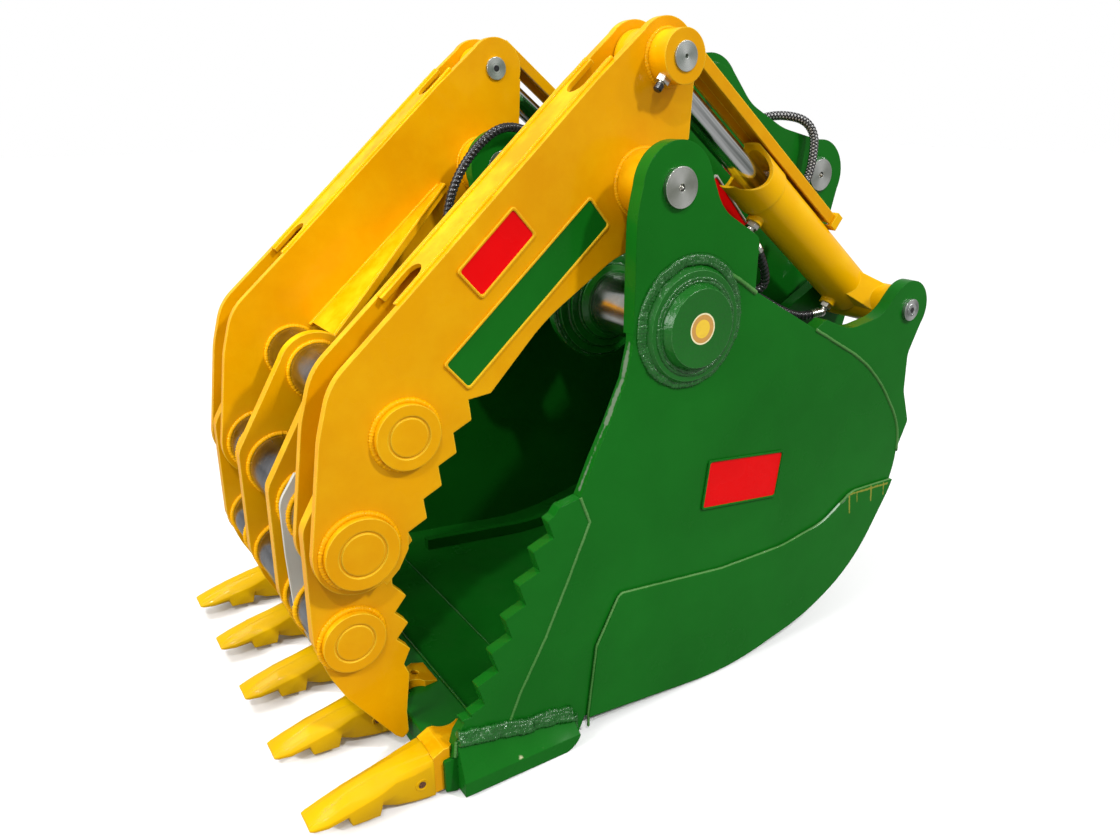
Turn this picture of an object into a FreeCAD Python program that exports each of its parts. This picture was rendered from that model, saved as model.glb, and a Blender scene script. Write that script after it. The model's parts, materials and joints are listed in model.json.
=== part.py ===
import FreeCAD, Part
import math
import os

# Excavator claw bucket, drawn with the claw closed on the lip.
# Lengths are millimetres. x runs from the tooth tips towards the back, z from the ground up,
# and y across the bucket with 0 in the middle plane. Each piece is moved when it is saved,
# so that the origin is the middle of the arm pin.

V = FreeCAD.Vector

# Bucket body
bucketWidth = 1200.0
sideThickness = 30.0
earThickness = 40.0
wrapperThickness = 25.0
lipFront = 325.0
lipBack = 452.0
lipTop = 104.0
lipNose = 13.0
padDepth = 40.0
padHeight = 40.0
wearThickness = 12.0
stripWidth = 90.0
stripThickness = 12.0
ribHeight = 38.0
ribWidth = 28.0
ribPlace = 425.0

# Hanger, which carries the excavator's arm pin and link pin
hangerGap = 390.0
hangerThickness = 40.0
armPinX = 1395.0
armPinZ = 1605.0
armPinRadius = 40.0
armEarRadius = 106.0
linkPinX = 1880.0
linkPinZ = 1370.0
linkPinRadius = 40.0
linkHeadRadius = 48.0
linkEarRadius = 106.0
bossStep = 25.0
bossRadius = 78.0

# Cross shaft and its welded bosses in the sides
shaftX = 1040.0
shaftZ = 1075.0
shaftRadius = 80.0
bossBaseRadius = 148.0
bossCapRadius = 109.0
bossFaceRadius = 97.0
bossHeight = 40.0
collarBaseRadius = 150.0
collarStepRadius = 124.0
collarRadius = 100.0
collarLength = 57.0
collarChamfer = 12.0

# Claw pivot
pivotX = 980.0
pivotZ = 1403.0
pivotPinRadius = 46.5
pivotEarRadius = 103.0
hubRadius = 78.0
pinHead = 10.0
pinEyeRadius = 9.0
runningFit = 0.05
sideClearance = 0.5

# Teeth and adapters
toothCount = 5
outerToothInset = 56.0
toothLength = 300.0
toothSetback = 25.0
toothBaseWidth = 104.0
toothTipWidth = 66.0
noseLength = 120.0
noseWidth = 66.0
adapterInset = 6.0
strapLength = 118.0
strapThickness = 24.0
strapWaist = 62.0
toothPinRadius = 9.0

# Claw arms and fingers
armOuterFace = 467.0
armInnerFace = 330.0
armPlate = 20.0
coverThickness = 12.0
fingerPlate = 30.0
outerFingerPlace = 400.0
innerFingerPlace = 136.0
upperTube = (338.0, 899.0, 76.0)
middleTube = (212.0, 650.0, 86.0)
lowerTube = (191.0, 398.0, 76.0)
tubeWall = 12.0
capStep = 22.0
capPlug = 14.0
gussetThickness = 20.0
doublerPlace = 226.0
doublerThickness = 12.0

# Rod pin in the claw arm
rodPinX = 1041.0
rodPinZ = 1680.0
rodPinRadius = 32.5
rodBossRadius = 60.0
rodBossLength = 64.0
armEndRadius = 88.0
lockBoltRadius = 9.0

# Hydraulic cylinders
basePinX = 1911.0
basePinZ = 1003.0
basePinRadius = 32.5
baseEarRadius = 86.0
baseEyeRadius = 62.0
innerEarOuter = 325.0
barrelRadius = 69.0
boreRadius = 52.0
barrelStart = 40.0
boreStart = 90.0
barrelEnd = 600.0
collarTip = 690.0
glandStart = 530.0
glandLength = 50.0
rodRadius = 35.0
pistonLength = 55.0
rodEyeRadius = 67.0
eyeSlip = 19.0
keeperPlace = 302.0
guardRise = 92.0
guardThickness = 8.0
guardFlange = 22.0
guardWidth = 84.0
portPlaces = (100.0, 538.0)
portRadius = 17.0
hoseRadius = 12.0
ferruleRadius = 14.0
ferruleLength = 38.0
elbowReach = 30.0
hoseLead = 45.0
hoseGap = 0.8

halfWidth = bucketWidth / 2
sideInner = halfWidth - sideThickness
toothPitch = (bucketWidth - 2 * outerToothInset) / (toothCount - 1)
adapterWidth = toothBaseWidth - 2 * adapterInset
toothBack = lipFront - toothSetback
hangerInner = hangerGap / 2
hangerOuter = hangerInner + hangerThickness
armMiddle = (armOuterFace + armInnerFace) / 2
armSlot = armOuterFace - armInnerFace - 2 * armPlate
rodEyeWidth = armSlot - 4.0
cylinderLength = math.hypot(rodPinX - basePinX, rodPinZ - basePinZ)
cylinderAngle = math.atan2(rodPinZ - basePinZ, rodPinX - basePinX)


# Closed wire in the plane y = 0. A point is (x, z) or (x, z, radius), and a radius rounds
# that corner with an arc that is tangent to both of its sides.
def outline(points):
    ends = []
    for i, point in enumerate(points):
        here = V(point[0], 0, point[1])
        if len(point) == 2:
            ends.append((here, None, here))
            continue
        before = V(points[i - 1][0], 0, points[i - 1][1])
        after = V(points[(i + 1) % len(points)][0], 0, points[(i + 1) % len(points)][1])
        back = (before - here).normalize()
        on = (after - here).normalize()
        half = back.getAngle(on) / 2
        reach = point[2] / math.tan(half)
        middle = here + (back + on).normalize() * (point[2] / math.sin(half) - point[2])
        ends.append((here + back * reach, middle, here + on * reach))
    edges = []
    for i, (start, middle, end) in enumerate(ends):
        if middle is not None:
            edges.append(Part.Arc(start, middle, end).toShape())
        following = ends[(i + 1) % len(ends)][0]
        if end.distanceToPoint(following) > 0.01:
            edges.append(Part.makeLine(end, following))
    return Part.Wire(edges)


# Flat plate with the given outline between two values of y.
def plate(points, yFrom, yTo):
    face = Part.Face(outline(points))
    solid = face.extrude(V(0, yTo - yFrom, 0))
    solid.translate(V(0, yFrom, 0))
    return solid


# Round bar along y.
def bar(x, z, radius, yFrom, yTo):
    return Part.makeCylinder(radius, yTo - yFrom, V(x, yFrom, z), V(0, 1, 0))


def ring(x, z, outer, inner, yFrom, yTo):
    return bar(x, z, outer, yFrom, yTo).cut(bar(x, z, inner, yFrom - 1, yTo + 1))


# Hexagonal bar from a point in any direction; the radius is half its width across flats.
def hexBar(radius, start, direction, length):
    reach = radius / math.cos(math.pi / 6)
    turns = [k * math.pi / 3 for k in range(7)]
    corners = [V(reach * math.cos(turn), reach * math.sin(turn), 0) for turn in turns]
    solid = Part.Face(Part.makePolygon(corners)).extrude(V(0, 0, length))
    solid.Placement = FreeCAD.Placement(start, FreeCAD.Rotation(V(0, 0, 1), direction))
    return solid


def mirrored(shape):
    return shape.mirror(V(0, 0, 0), V(0, 1, 0))


# Near side at -y and far side at +y.
def bothSides(shape):
    return [shape, mirrored(shape)]


def joined(first, *others):
    return first.fuse(list(others)).removeSplitter()


def solidsOf(shapes):
    return [solid for shape in shapes for solid in shape.Solids]


def save(name, shapes):
    if not isinstance(shapes, list):
        shapes = [shapes]
    solids = solidsOf(shapes)
    shape = solids[0] if len(solids) == 1 else Part.makeCompound(solids)
    shape = shape.copy()
    shape.translate(V(-armPinX, 0, -armPinZ))
    shape.exportStep("parts/" + name + ".step")
    print(name, len(solids), round(sum(s.Volume for s in solids) / 1000.0), shape.isValid())


# Pushes each point of an open chain inwards by a distance, with its radius reduced to suit.
def inset(points, distance):
    result = []
    for i, point in enumerate(points):
        here = V(point[0], 0, point[1])
        before = V(points[max(i - 1, 0)][0], 0, points[max(i - 1, 0)][1])
        after = V(points[min(i + 1, len(points) - 1)][0], 0, points[min(i + 1, len(points) - 1)][1])
        normals = []
        for start, end in ((before, here), (here, after)):
            along = end - start
            if along.Length > 0:
                along.normalize()
                normals.append(V(-along.z, 0, along.x))
        bisector = (normals[0] + normals[-1]).normalize()
        moved = here + bisector * (distance / bisector.dot(normals[0]))
        radius = [point[2] - distance] if len(point) == 3 else []
        result.append([moved.x, moved.z] + radius)
    return result


# Outer face of the floor, heel, back and roof, from the lip round to the roof's free edge.
def wrapperLine():
    return [
        (lipBack, 84), (1245, -3, 870), (1591, 70, 660), (1789, 189, 460),
        (1951, 457, 285), (1951, 620, 240), (1782, 846, 650), (1249, 1136),
    ]


def wrapperShell():
    outer = wrapperLine()
    inner = inset(outer, wrapperThickness)
    return plate(outer + inner[::-1], -sideInner, sideInner)


# Everything inside the outer face of the wrapper, used to trim what sits on it.
def bucketRegion(yFrom, yTo):
    return plate(wrapperLine(), yFrom, yTo)


def lipBar():
    points = [
        (lipFront, lipTop - 2, 5), (lipFront, lipNose, 6), (lipFront + 27, lipNose - 9, 6),
        (lipFront + 105, 30), (lipBack, 84), (lipBack, 84 + wrapperThickness),
    ]
    return plate(points, -halfWidth, halfWidth)


# Back edge of the serrated cutter, which is the front edge of the side plate below its shoulder.
cutterSeam = [(480, 5), (502, 130), (534, 205), (614, 347), (685, 497), (743, 627), (715, 699)]
frontEdge = [(722, 713), (756, 788), (798, 868), (844, 971), (862, 1053)]


def sidePlate():
    yFrom, yTo = -halfWidth, -sideInner
    wrap = wrapperLine()
    points = cutterSeam + frontEdge + [(862, 1075), (shaftX, shaftZ), (1200, 1150)]
    points += [wrap[-1]] + wrap[-2:0:-1] + [(734, 53), (715, 5, 18)]
    crown = bar(shaftX, shaftZ, bossBaseRadius + 27, yFrom, yTo)
    front = plate([(862, 900), (862, 1300), (1300, 1300), (1300, 900)], yFrom, yTo)
    return joined(plate(points, yFrom, yTo), crown.common(front))


def clawEar(side):
    yFrom, yTo = -halfWidth, -halfWidth + earThickness
    points = [
        (862, 1060), (862, 1345, 300), (884, 1440), (pivotX, pivotZ + 20), (1071, 1450),
        (1120, 1345, 120), (1251, 1270, 25), (1251, 1130), (shaftX, shaftZ),
    ]
    blank = joined(plate(points, yFrom, yTo), bar(pivotX, pivotZ, pivotEarRadius, yFrom, yTo))
    blank = blank.cut(bar(pivotX, pivotZ, pivotPinRadius, yFrom - 1, yTo + 1))
    return blank.cut(grown(side, yFrom, yTo))


# The side plate's own outline taken through another thickness, so that a plate can butt on it.
def grown(side, yFrom, yTo):
    face = max((f for f in side.Faces if abs(f.normalAt(0, 0).y) > 0.9), key=lambda f: f.Area)
    lowest = face.BoundBox.YMin
    solid = face.extrude(V(0, yTo - yFrom + 2, 0))
    solid.translate(V(0, yFrom - 1 - lowest, 0))
    return solid


def cylinderEar(yFrom, yTo, trim):
    points = [
        (1500, 1001), (1540, 1022, 15), (1645, 978, 160), (1790, 1000, 120), (1846, 1060),
        (basePinX, basePinZ), (1992, 976), (1972, 935, 40), (1938, 862, 60),
        (1946, 740, 60), (1990, 632, 22), (1951, 540), (1800, 700), (1560, 930),
    ]
    ear = joined(plate(points, yFrom, yTo), bar(basePinX, basePinZ, baseEarRadius, yFrom, yTo))
    ear = ear.cut(bar(basePinX, basePinZ, basePinRadius, yFrom - 1, yTo + 1))
    return ear.cut(trim)


def innerEar():
    yFrom, yTo = -innerEarOuter, -innerEarOuter + earThickness
    points = [
        (1640, 900), (1700, 985, 60), (1846, 1060), (basePinX, basePinZ), (1992, 976),
        (1960, 860, 80), (1890, 700), (1700, 800),
    ]
    ear = joined(plate(points, yFrom, yTo), bar(basePinX, basePinZ, baseEarRadius, yFrom, yTo))
    ear = ear.cut(bar(basePinX, basePinZ, basePinRadius, yFrom - 1, yTo + 1))
    return ear.cut(bucketRegion(yFrom - 1, yTo + 1))


# Saw edge: each tooth has a steep flank down to its tip and a flat one back to the next root.
def sawEdge(start, step, count, tip):
    points = []
    for i in range(count):
        root = (start[0] + step[0] * i, start[1] + step[1] * i)
        points.append(root)
        points.append((root[0] + tip[0], root[1] + tip[1], 4))
    return points


def sideCutter(lip):
    saw = sawEdge((639, 614), (-40.0, -78.6), 6, (-58.0, -20.0))
    points = [
        (480, 5), (lipBack, 5), (372, 5), (345, lipTop - 20), (345, lipTop), (362, 165, 60),
        (390, 201, 8),
    ]
    points += saw[::-1] + [(622, 662, 4), (640, 670), (657, 690, 12), (675, 692)]
    points += cutterSeam[:0:-1]
    blank = plate(points, -halfWidth, -sideInner)
    return blank.cut(lip)


def cornerPad():
    outer = -halfWidth - padDepth
    sections = []
    for x, low, rise in ((358, 11, 134), (694, 0, 70)):
        top = low + padHeight
        corners = [
            V(x, -halfWidth, low), V(x, outer, low), V(x, outer, top),
            V(x, -halfWidth - 8, low + rise - 6), V(x, -halfWidth, low + rise),
        ]
        sections.append(Part.makePolygon(corners + corners[:1]))
    pad = Part.makeLoft(sections, True, True)
    corner = Part.makeCylinder(60, 2 * padDepth, V(640, outer - 20, 60), V(0, 1, 0))
    tail = Part.makeBox(60, 2 * padDepth, 60, V(640, outer - 20, 0)).cut(corner)
    return pad.cut(tail)


def sideWearPlate():
    yFrom, yTo = -halfWidth - wearThickness, -halfWidth
    points = [
        (743, 0), (743, 60), (767, 264), (838, 396, 20), (1199, 353), (1442, 350, 300),
        (1615, 377, 200), (1742, 450, 80), (2000, 443), (2000, 0),
    ]
    return plate(points, yFrom, yTo).common(bucketRegion(yFrom - 1, yTo + 1))


def heelStrips():
    strips = []
    t = stripThickness
    points = [
        (1095, 2), (1115, 0), (1300, 0, 40), (1445, 27, 700), (1597, 71 - t, 500),
        (1705, 136 - t), (1690, 180), (1110, 60),
    ]
    strip = plate(points, -stripWidth / 2, stripWidth / 2)
    strip = strip.cut(bucketRegion(-stripWidth, stripWidth))
    for place in (-1.5, -0.5, 0.5, 1.5):
        copy = strip.copy()
        copy.translate(V(0, place * toothPitch, 0))
        strips.append(copy)
    return strips


# Wear rib welded along the floor and up the heel, near each side.
def floorRibs():
    line = wrapperLine()[:3] + [wrapperLine()[3][:2]]
    foot = inset(line, wrapperThickness)
    top = inset(line, wrapperThickness + ribHeight)
    yFrom = -ribPlace - ribWidth / 2
    rib = plate(foot + top[::-1], yFrom, yFrom + ribWidth)
    span = Part.makeBox(740, ribWidth, 400, V(760, yFrom, 0))
    return bothSides(rib.common(span))


def hangerPlate():
    yFrom, yTo = -hangerOuter, -hangerInner
    points = [
        (pivotX, pivotZ + 103), (1180, 1530, 250), (1300, 1660), (armPinX, armPinZ),
        (1469, 1680), (1560, 1580, 160), (1700, 1512, 260), (1850, 1478, 100), (1926, 1444),
        (linkPinX, linkPinZ), (1985, 1360), (1915, 1090, 260), (1905, 720), (1500, 850),
        (1249, 1120), (1130, 1010), (shaftX, shaftZ), (928, 1090), (pivotX - 103, pivotZ),
    ]
    rounds = [
        bar(armPinX, armPinZ, armEarRadius, yFrom, yTo),
        bar(linkPinX, linkPinZ, linkEarRadius, yFrom, yTo),
        bar(pivotX, pivotZ, pivotEarRadius + 2, yFrom, yTo),
        bar(shaftX, shaftZ, collarBaseRadius + 5, yFrom, yTo),
    ]
    solid = joined(plate(points, yFrom, yTo), *rounds)
    holes = [
        bar(armPinX, armPinZ, armPinRadius, yFrom - 1, yTo + 1),
        bar(linkPinX, linkPinZ, linkPinRadius, yFrom - 1, yTo + 1),
        bar(pivotX, pivotZ, pivotPinRadius, yFrom - 1, yTo + 1),
        bar(shaftX, shaftZ, shaftRadius, yFrom - 1, yTo + 1),
        bucketRegion(yFrom - 1, yTo + 1),
    ]
    return solid.cut(holes)


def hangerBosses():
    rings = []
    for x, z, bore in ((armPinX, armPinZ, armPinRadius), (linkPinX, linkPinZ, linkPinRadius)):
        rings.append(ring(x, z, bossRadius, bore, -hangerInner, -hangerInner + bossStep))
    rings.append(ring(armPinX, armPinZ, bossRadius, armPinRadius, -hangerOuter - bossStep, -hangerOuter))
    return solidsOf([piece for item in rings for piece in bothSides(item)])


# Pin with a head at its outer end and a blind grease hole in the head's face.
def headedPin(x, z, radius, headRadius, yHead, yEnd, head):
    pin = joined(bar(x, z, radius, yHead, yEnd), bar(x, z, headRadius, yHead, yHead + head))
    return pin.cut(bar(x, z, pinEyeRadius, yHead - 1, yHead + 20))


def linkPin():
    reach = hangerOuter + 12
    pin = joined(
        bar(linkPinX, linkPinZ, linkPinRadius, -reach, reach),
        bar(linkPinX, linkPinZ, linkHeadRadius, -reach, -hangerOuter),
        bar(linkPinX, linkPinZ, linkHeadRadius, hangerOuter, reach),
    )
    return pin.cut(bar(linkPinX, linkPinZ, pinEyeRadius, -reach - 1, -reach + 20))


def shaftBoss():
    face = -halfWidth
    base = Part.makeCone(bossBaseRadius - 12, bossBaseRadius, bossHeight * 0.4,
                         V(shaftX, face - bossHeight * 0.4, shaftZ), V(0, 1, 0))
    cap = Part.makeCone(bossFaceRadius, bossCapRadius, bossHeight * 0.6,
                        V(shaftX, face - bossHeight, shaftZ), V(0, 1, 0))
    return joined(base, cap)


# Stepped collar on the hanger plate, chamfered where the shaft leaves it.
def shaftCollar():
    steps = [
        (collarBaseRadius, 18.0), (collarStepRadius, 34.0), (collarRadius, collarLength - collarChamfer),
    ]
    collar = [bar(shaftX, shaftZ, radius, -hangerOuter - rise, -hangerOuter) for radius, rise in steps]
    collar.append(Part.makeCone(collarRadius - collarChamfer, collarRadius, collarChamfer,
                                V(shaftX, -hangerOuter - collarLength, shaftZ), V(0, 1, 0)))
    return joined(*collar).cut(bar(shaftX, shaftZ, shaftRadius, -halfWidth, 0))


def toothSection(x, width, low, high, crown):
    half = width / 2
    shoulder = high - (high - low) * 0.28
    corners = [
        V(x, -half, low), V(x, half, low), V(x, half, shoulder),
        V(x, half * crown, high), V(x, -half * crown, high), V(x, -half, shoulder),
    ]
    return Part.makePolygon(corners + corners[:1])


def noseSection(x, grow):
    half = noseWidth / 2 * grow
    tall = 40.0 * grow
    middle = 66.0
    corners = [V(x, -half, middle - tall), V(x, half, middle - tall),
               V(x, half, middle + tall), V(x, -half, middle + tall)]
    return Part.makePolygon(corners + corners[:1])


def adapterNose():
    return Part.makeLoft([noseSection(toothBack - noseLength, 0.45), noseSection(toothBack, 1.0)],
                         True, True)


def tooth():
    widest = toothBaseWidth
    tip = toothBack - toothLength
    sections = [
        toothSection(tip, toothTipWidth, 52, 61, 0.9),
        toothSection(tip + toothLength * 0.16, widest * 0.80, 45, 82, 0.7),
        toothSection(tip + toothLength * 0.42, widest * 0.86, 30, 108, 0.5),
        toothSection(tip + toothLength * 0.72, widest * 0.96, 18, 122, 0.5),
        toothSection(toothBack, widest, 12, 124, 0.6),
    ]
    return Part.makeLoft(sections, True, True)


# Adapter: a nose that fills the tooth's socket and a strap, narrow at its middle, over the lip.
def adapter(lip):
    half = adapterWidth / 2
    body = plate([(toothBack, 16), (toothBack, 120), (lipFront + 4, lipTop + strapThickness + 6),
                  (lipFront + strapLength * 0.6, lipTop + strapThickness, 40),
                  (lipFront + strapLength, lipTop + 8), (lipFront + strapLength, lipTop - 20),
                  (lipFront, lipTop - 20), (lipFront, 16)], -half, half)
    strapHole = Part.makeCylinder(11, 80, V(lipFront + strapLength * 0.62, 0, lipTop + 6), V(0, 0, 1))
    notches = [strapHole]
    for side in (-1, 1):
        centre = V(lipFront + strapLength * 0.42, side * (strapWaist / 2 + 42), lipTop)
        notches.append(Part.makeCylinder(42, 80, centre, V(0, 0, 1)))
    return joined(body.cut(lip).cut(notches), adapterNose())


def toothSet(lip):
    teeth, adapters, pins = [], [], []
    pinPlace = toothBack - 34
    drill = bar(pinPlace, 62, toothPinRadius, -toothBaseWidth, toothBaseWidth)
    oneAdapter = adapter(lip).cut(drill)
    cutters = bothSides(sideCutter(lip))
    oneTooth = tooth().cut(adapterNose()).cut(drill)
    onePin = bar(pinPlace, 62, toothPinRadius, -toothBaseWidth * 0.47, toothBaseWidth * 0.47)
    for i in range(toothCount):
        shift = V(0, (i - (toothCount - 1) / 2) * toothPitch, 0)
        for piece, group in ((oneTooth, teeth), (oneAdapter, adapters), (onePin, pins)):
            copy = piece.copy()
            copy.translate(shift)
            group.append(copy.cut(cutters) if piece is oneAdapter else copy)
    return teeth, adapters, pins


# Arm plate: a long web from the rod pin to the claw's shoulder, with a round lobe at the
# middle tube, and the saw edge on the side that closes against the bucket.
def armPlateShape(yFrom, yTo):
    saw = sawEdge((495, 951), (-41.6, -72.0), 5, (6.0, -50.0))
    points = [
        (rodPinX, rodPinZ), (971, 1734), (845, 1630), (362, 1199), (180, 1040, 150),
        (146, 924, 300), (105, 660), (212, 650), (267, 545), (300, 575), (326, 620),
    ]
    points += saw[::-1][1:] + [(495, 951), (553, 956), (700, 1105, 500), (894, 1227, 200)]
    points += [(960, 1251), (pivotX, pivotZ), (1120, 1500), (1128, 1650)]
    rounds = [
        bar(rodPinX, rodPinZ, armEndRadius, yFrom, yTo),
        bar(pivotX, pivotZ, 155, yFrom, yTo),
        bar(middleTube[0], middleTube[1], middleTube[2] + 21, yFrom, yTo),
    ]
    solid = joined(plate(points, yFrom, yTo), *rounds)
    holes = [
        bar(rodPinX, rodPinZ, rodPinRadius, yFrom - 1, yTo + 1),
        bar(pivotX, pivotZ, hubRadius, yFrom - 1, yTo + 1),
        bar(upperTube[0], upperTube[1], upperTube[2], yFrom - 1, yTo + 1),
        bar(middleTube[0], middleTube[1], middleTube[2], yFrom - 1, yTo + 1),
    ]
    return solid.cut(holes)


# Finger: loops round the three tubes and runs down to a point between two teeth.
def finger(place):
    yFrom, yTo = place - fingerPlate / 2, place + fingerPlate / 2
    saw = sawEdge((300, 505), (0.0, -76.0), 3, (33.0, -38.0))
    points = [
        (upperTube[0], upperTube[1]), (upperTube[0] - 96, upperTube[1] + 40),
        (105, 706, 60), (100, 411, 90), (129, 313, 200), (166, 236), (278, 74), (296, 57, 8),
        (313, 70), (312, 133), (326, 243), (314, 276),
    ]
    points += saw[::-1] + [(300, 556), (358, 609, 4), (340, 660), (384, 684, 4), (372, 740)]
    points += [(416, 760, 4), (404, 810), (440, 860)]
    rounds = [bar(upperTube[0], upperTube[1], upperTube[2] + 28, yFrom, yTo)]
    solid = joined(plate(points, yFrom, yTo), *rounds)
    holes = [bar(x, z, radius, yFrom - 1, yTo + 1) for x, z, radius in (upperTube, middleTube, lowerTube)]
    return solid.cut(holes)


def fingerDoubler():
    yFrom = -doublerPlace - doublerThickness / 2
    yTo = yFrom + doublerThickness
    points = [
        (152, 763), (109, 700, 70), (108, 560, 200), (113, 408, 60), (140, 300), (250, 300, 40),
        (300, 420), (310, 700), (212, 760),
    ]
    solid = plate(points, yFrom, yTo)
    for x, z, radius in (middleTube, lowerTube):
        solid = solid.cut(bar(x, z, radius, yFrom - 1, yTo + 1))
    return solid


# Strip that closes the box arm along its front, with a U cut in each end.
def armCovers():
    slope = math.atan2(1630 - 1199, 845 - 362)
    along = V(math.cos(slope), 0, math.sin(slope))
    across = V(-math.sin(slope), 0, math.cos(slope))
    start = V(345, -armMiddle, 1184)
    length = 740.0
    half = armSlot / 2
    corners = []
    for u, v in ((0, -half), (length, -half), (length, half), (0, half)):
        corners.append(start + along * u + V(0, v, 0))
    wire = Part.makePolygon(corners + corners[:1])
    strip = Part.Face(wire).extrude(across * -coverThickness)
    for u, reach in ((0, 78), (length, -78)):
        centre = start + along * (u + reach) - across * (coverThickness + 10)
        mouth = start + along * (u - reach) - across * (coverThickness + 10)
        cut = Part.makeCylinder(half * 0.62, coverThickness + 20, centre, across)
        side = V(0, half * 0.62, 0)
        slot = Part.makePolygon([centre - side, centre + side, mouth + side, mouth - side, centre - side])
        cut = cut.fuse(Part.Face(slot).extrude(across * (coverThickness + 20)))
        strip = strip.cut(cut)
    return bothSides(strip)


# Strip that closes the box arm along its inner, curved edge.
def innerCovers():
    line = [(560, 968), (700, 1111, 480), (892, 1234, 190), (950, 1256)]
    face = line + inset(line, coverThickness)[::-1]
    return bothSides(plate(face, -armOuterFace + armPlate, -armInnerFace - armPlate))


# Tapered gusset between an inner arm plate and the finger beside it, above the upper tube.
def gussets():
    slope = math.atan2(1356 - 981, 839 - 402)
    along = V(math.cos(slope), 0, math.sin(slope))
    across = V(-math.sin(slope), 0, math.cos(slope))
    foot = V(402, 0, 981)
    length = 575.0
    corners = [
        foot + V(0, -armInnerFace, 0), foot + along * length + V(0, -armInnerFace, 0),
        foot + along * length + V(0, -armInnerFace + 30, 0), foot + V(0, -innerFingerPlace, 0),
    ]
    wire = Part.makePolygon(corners + corners[:1])
    solid = Part.Face(wire).extrude(across * -gussetThickness)
    solid = solid.cut(finger(-innerFingerPlace))
    solid = solid.cut(bar(upperTube[0], upperTube[1], upperTube[2], -halfWidth, 0))
    return bothSides(solid)


def crossTubes():
    tubes = []
    ends = ((upperTube, armOuterFace), (middleTube, armOuterFace),
            (lowerTube, outerFingerPlace + fingerPlate / 2))
    for (x, z, radius), reach in ends:
        tubes.append(ring(x, z, radius, radius - tubeWall, -reach, reach))
    return tubes


def tubeCaps():
    caps = []
    ends = ((upperTube, armOuterFace), (middleTube, armOuterFace),
            (lowerTube, outerFingerPlace + fingerPlate / 2))
    for (x, z, radius), reach in ends:
        disc = bar(x, z, radius, -reach - capStep, -reach)
        groove = ring(x, z, radius * 0.66, radius * 0.58, -reach - capStep - 1, -reach - capStep + 3)
        caps += bothSides(disc.cut(groove))
    return caps


def pivotHub():
    return ring(pivotX, pivotZ, hubRadius, pivotPinRadius + runningFit,
                -halfWidth + earThickness + sideClearance, -hangerOuter - sideClearance)


def rodPinParts():
    bossEnd = -armOuterFace - rodBossLength
    boss = ring(rodPinX, rodPinZ, rodBossRadius, rodPinRadius, bossEnd, -armOuterFace)
    pin = bar(rodPinX, rodPinZ, rodPinRadius, bossEnd - 4, -armInnerFace + 6)
    pin = pin.cut(bar(rodPinX, rodPinZ, 5, bossEnd - 5, bossEnd + 10))
    tilt = math.radians(232)
    out = V(math.cos(tilt), 0, math.sin(tilt))
    centre = V(rodPinX, -armOuterFace - rodBossLength * 0.55, rodPinZ)
    seat = rodPinRadius - 14
    reach = rodBossRadius + 28 - seat
    shank = Part.makeCylinder(lockBoltRadius, reach, centre + out * seat, out)
    nut = hexBar(lockBoltRadius * 1.7, centre + out * (rodBossRadius - 2), out, 15)
    nut = nut.cut(bar(rodPinX, rodPinZ, rodBossRadius, -halfWidth, 0))
    drill = Part.makeCylinder(lockBoltRadius + runningFit, reach, centre + out * seat, out)
    return boss.cut(drill), pin.cut(drill), joined(shank, nut)


# A piece of the near cylinder is drawn with the base pin at the origin, the rod pin on +x
# and the guarded side at -z, and is then turned into place.
def placed(shape):
    shape = shape.copy()
    shape.rotate(V(0, 0, 0), V(0, 1, 0), -math.degrees(cylinderAngle))
    shape.translate(V(basePinX, -armMiddle, basePinZ))
    return shape


def drum(radius, start, end):
    return Part.makeCylinder(radius, end - start, V(start, 0, 0), V(1, 0, 0))


def barrel():
    eyeNear = -halfWidth + earThickness + sideClearance + armMiddle
    eyeFar = -innerEarOuter - sideClearance + armMiddle
    eye = Part.makeCylinder(baseEyeRadius, eyeFar - eyeNear, V(0, eyeNear, 0), V(0, 1, 0))
    sections = []
    for x, left, right, half in ((0, eyeNear + 3, eyeFar - 3, 48), (120, -46, 46, 40)):
        corners = [V(x, left, -half), V(x, right, -half), V(x, right, half), V(x, left, half)]
        sections.append(Part.makePolygon(corners + corners[:1]))
    flare = Part.makeLoft(sections, True, True)
    body = joined(drum(barrelRadius, barrelStart, barrelEnd), eye, flare,
                  drum(barrelRadius + 4, barrelEnd - 30, collarTip))
    for place in portPlaces:
        body = body.fuse(Part.makeCylinder(portRadius + 6, barrelRadius + 14, V(place, 0, 0), V(0, 0, 1)))
    saddle = Part.makeCylinder(rodEyeRadius, 400, V(collarTip + 10, -200, 0), V(0, 1, 0))
    body = body.cut([
        drum(boreRadius, boreStart, barrelEnd), drum(barrelRadius - 8, barrelEnd - 20, collarTip + 1),
        saddle,
        Part.makeCylinder(basePinRadius + runningFit, 500, V(0, -250, 0), V(0, 1, 0)),
    ])
    for place in portPlaces:
        body = body.cut(Part.makeCylinder(8, barrelRadius + 20, V(place, 0, boreRadius - 4), V(0, 0, 1)))
    return body.removeSplitter()


def keeper():
    low = -barrelRadius + 4
    top = -guardRise - guardThickness - 9
    half = guardWidth / 2 + 9
    block = Part.makeBox(26, 2 * half, low - top, V(keeperPlace - 13, -half, top))
    window = Part.makeBox(60, guardWidth + 2, guardThickness + guardFlange + 2,
                          V(keeperPlace - 30, -guardWidth / 2 - 1, -guardRise - guardThickness - 1))
    return block.cut(window)


def gland():
    sleeve = drum(boreRadius, glandStart, glandStart + glandLength)
    nut = drum(boreRadius - 6, glandStart + glandLength, barrelEnd - 20 + 22)
    return joined(sleeve, nut).cut(drum(rodRadius + runningFit, 0, barrelEnd + 100))


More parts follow.
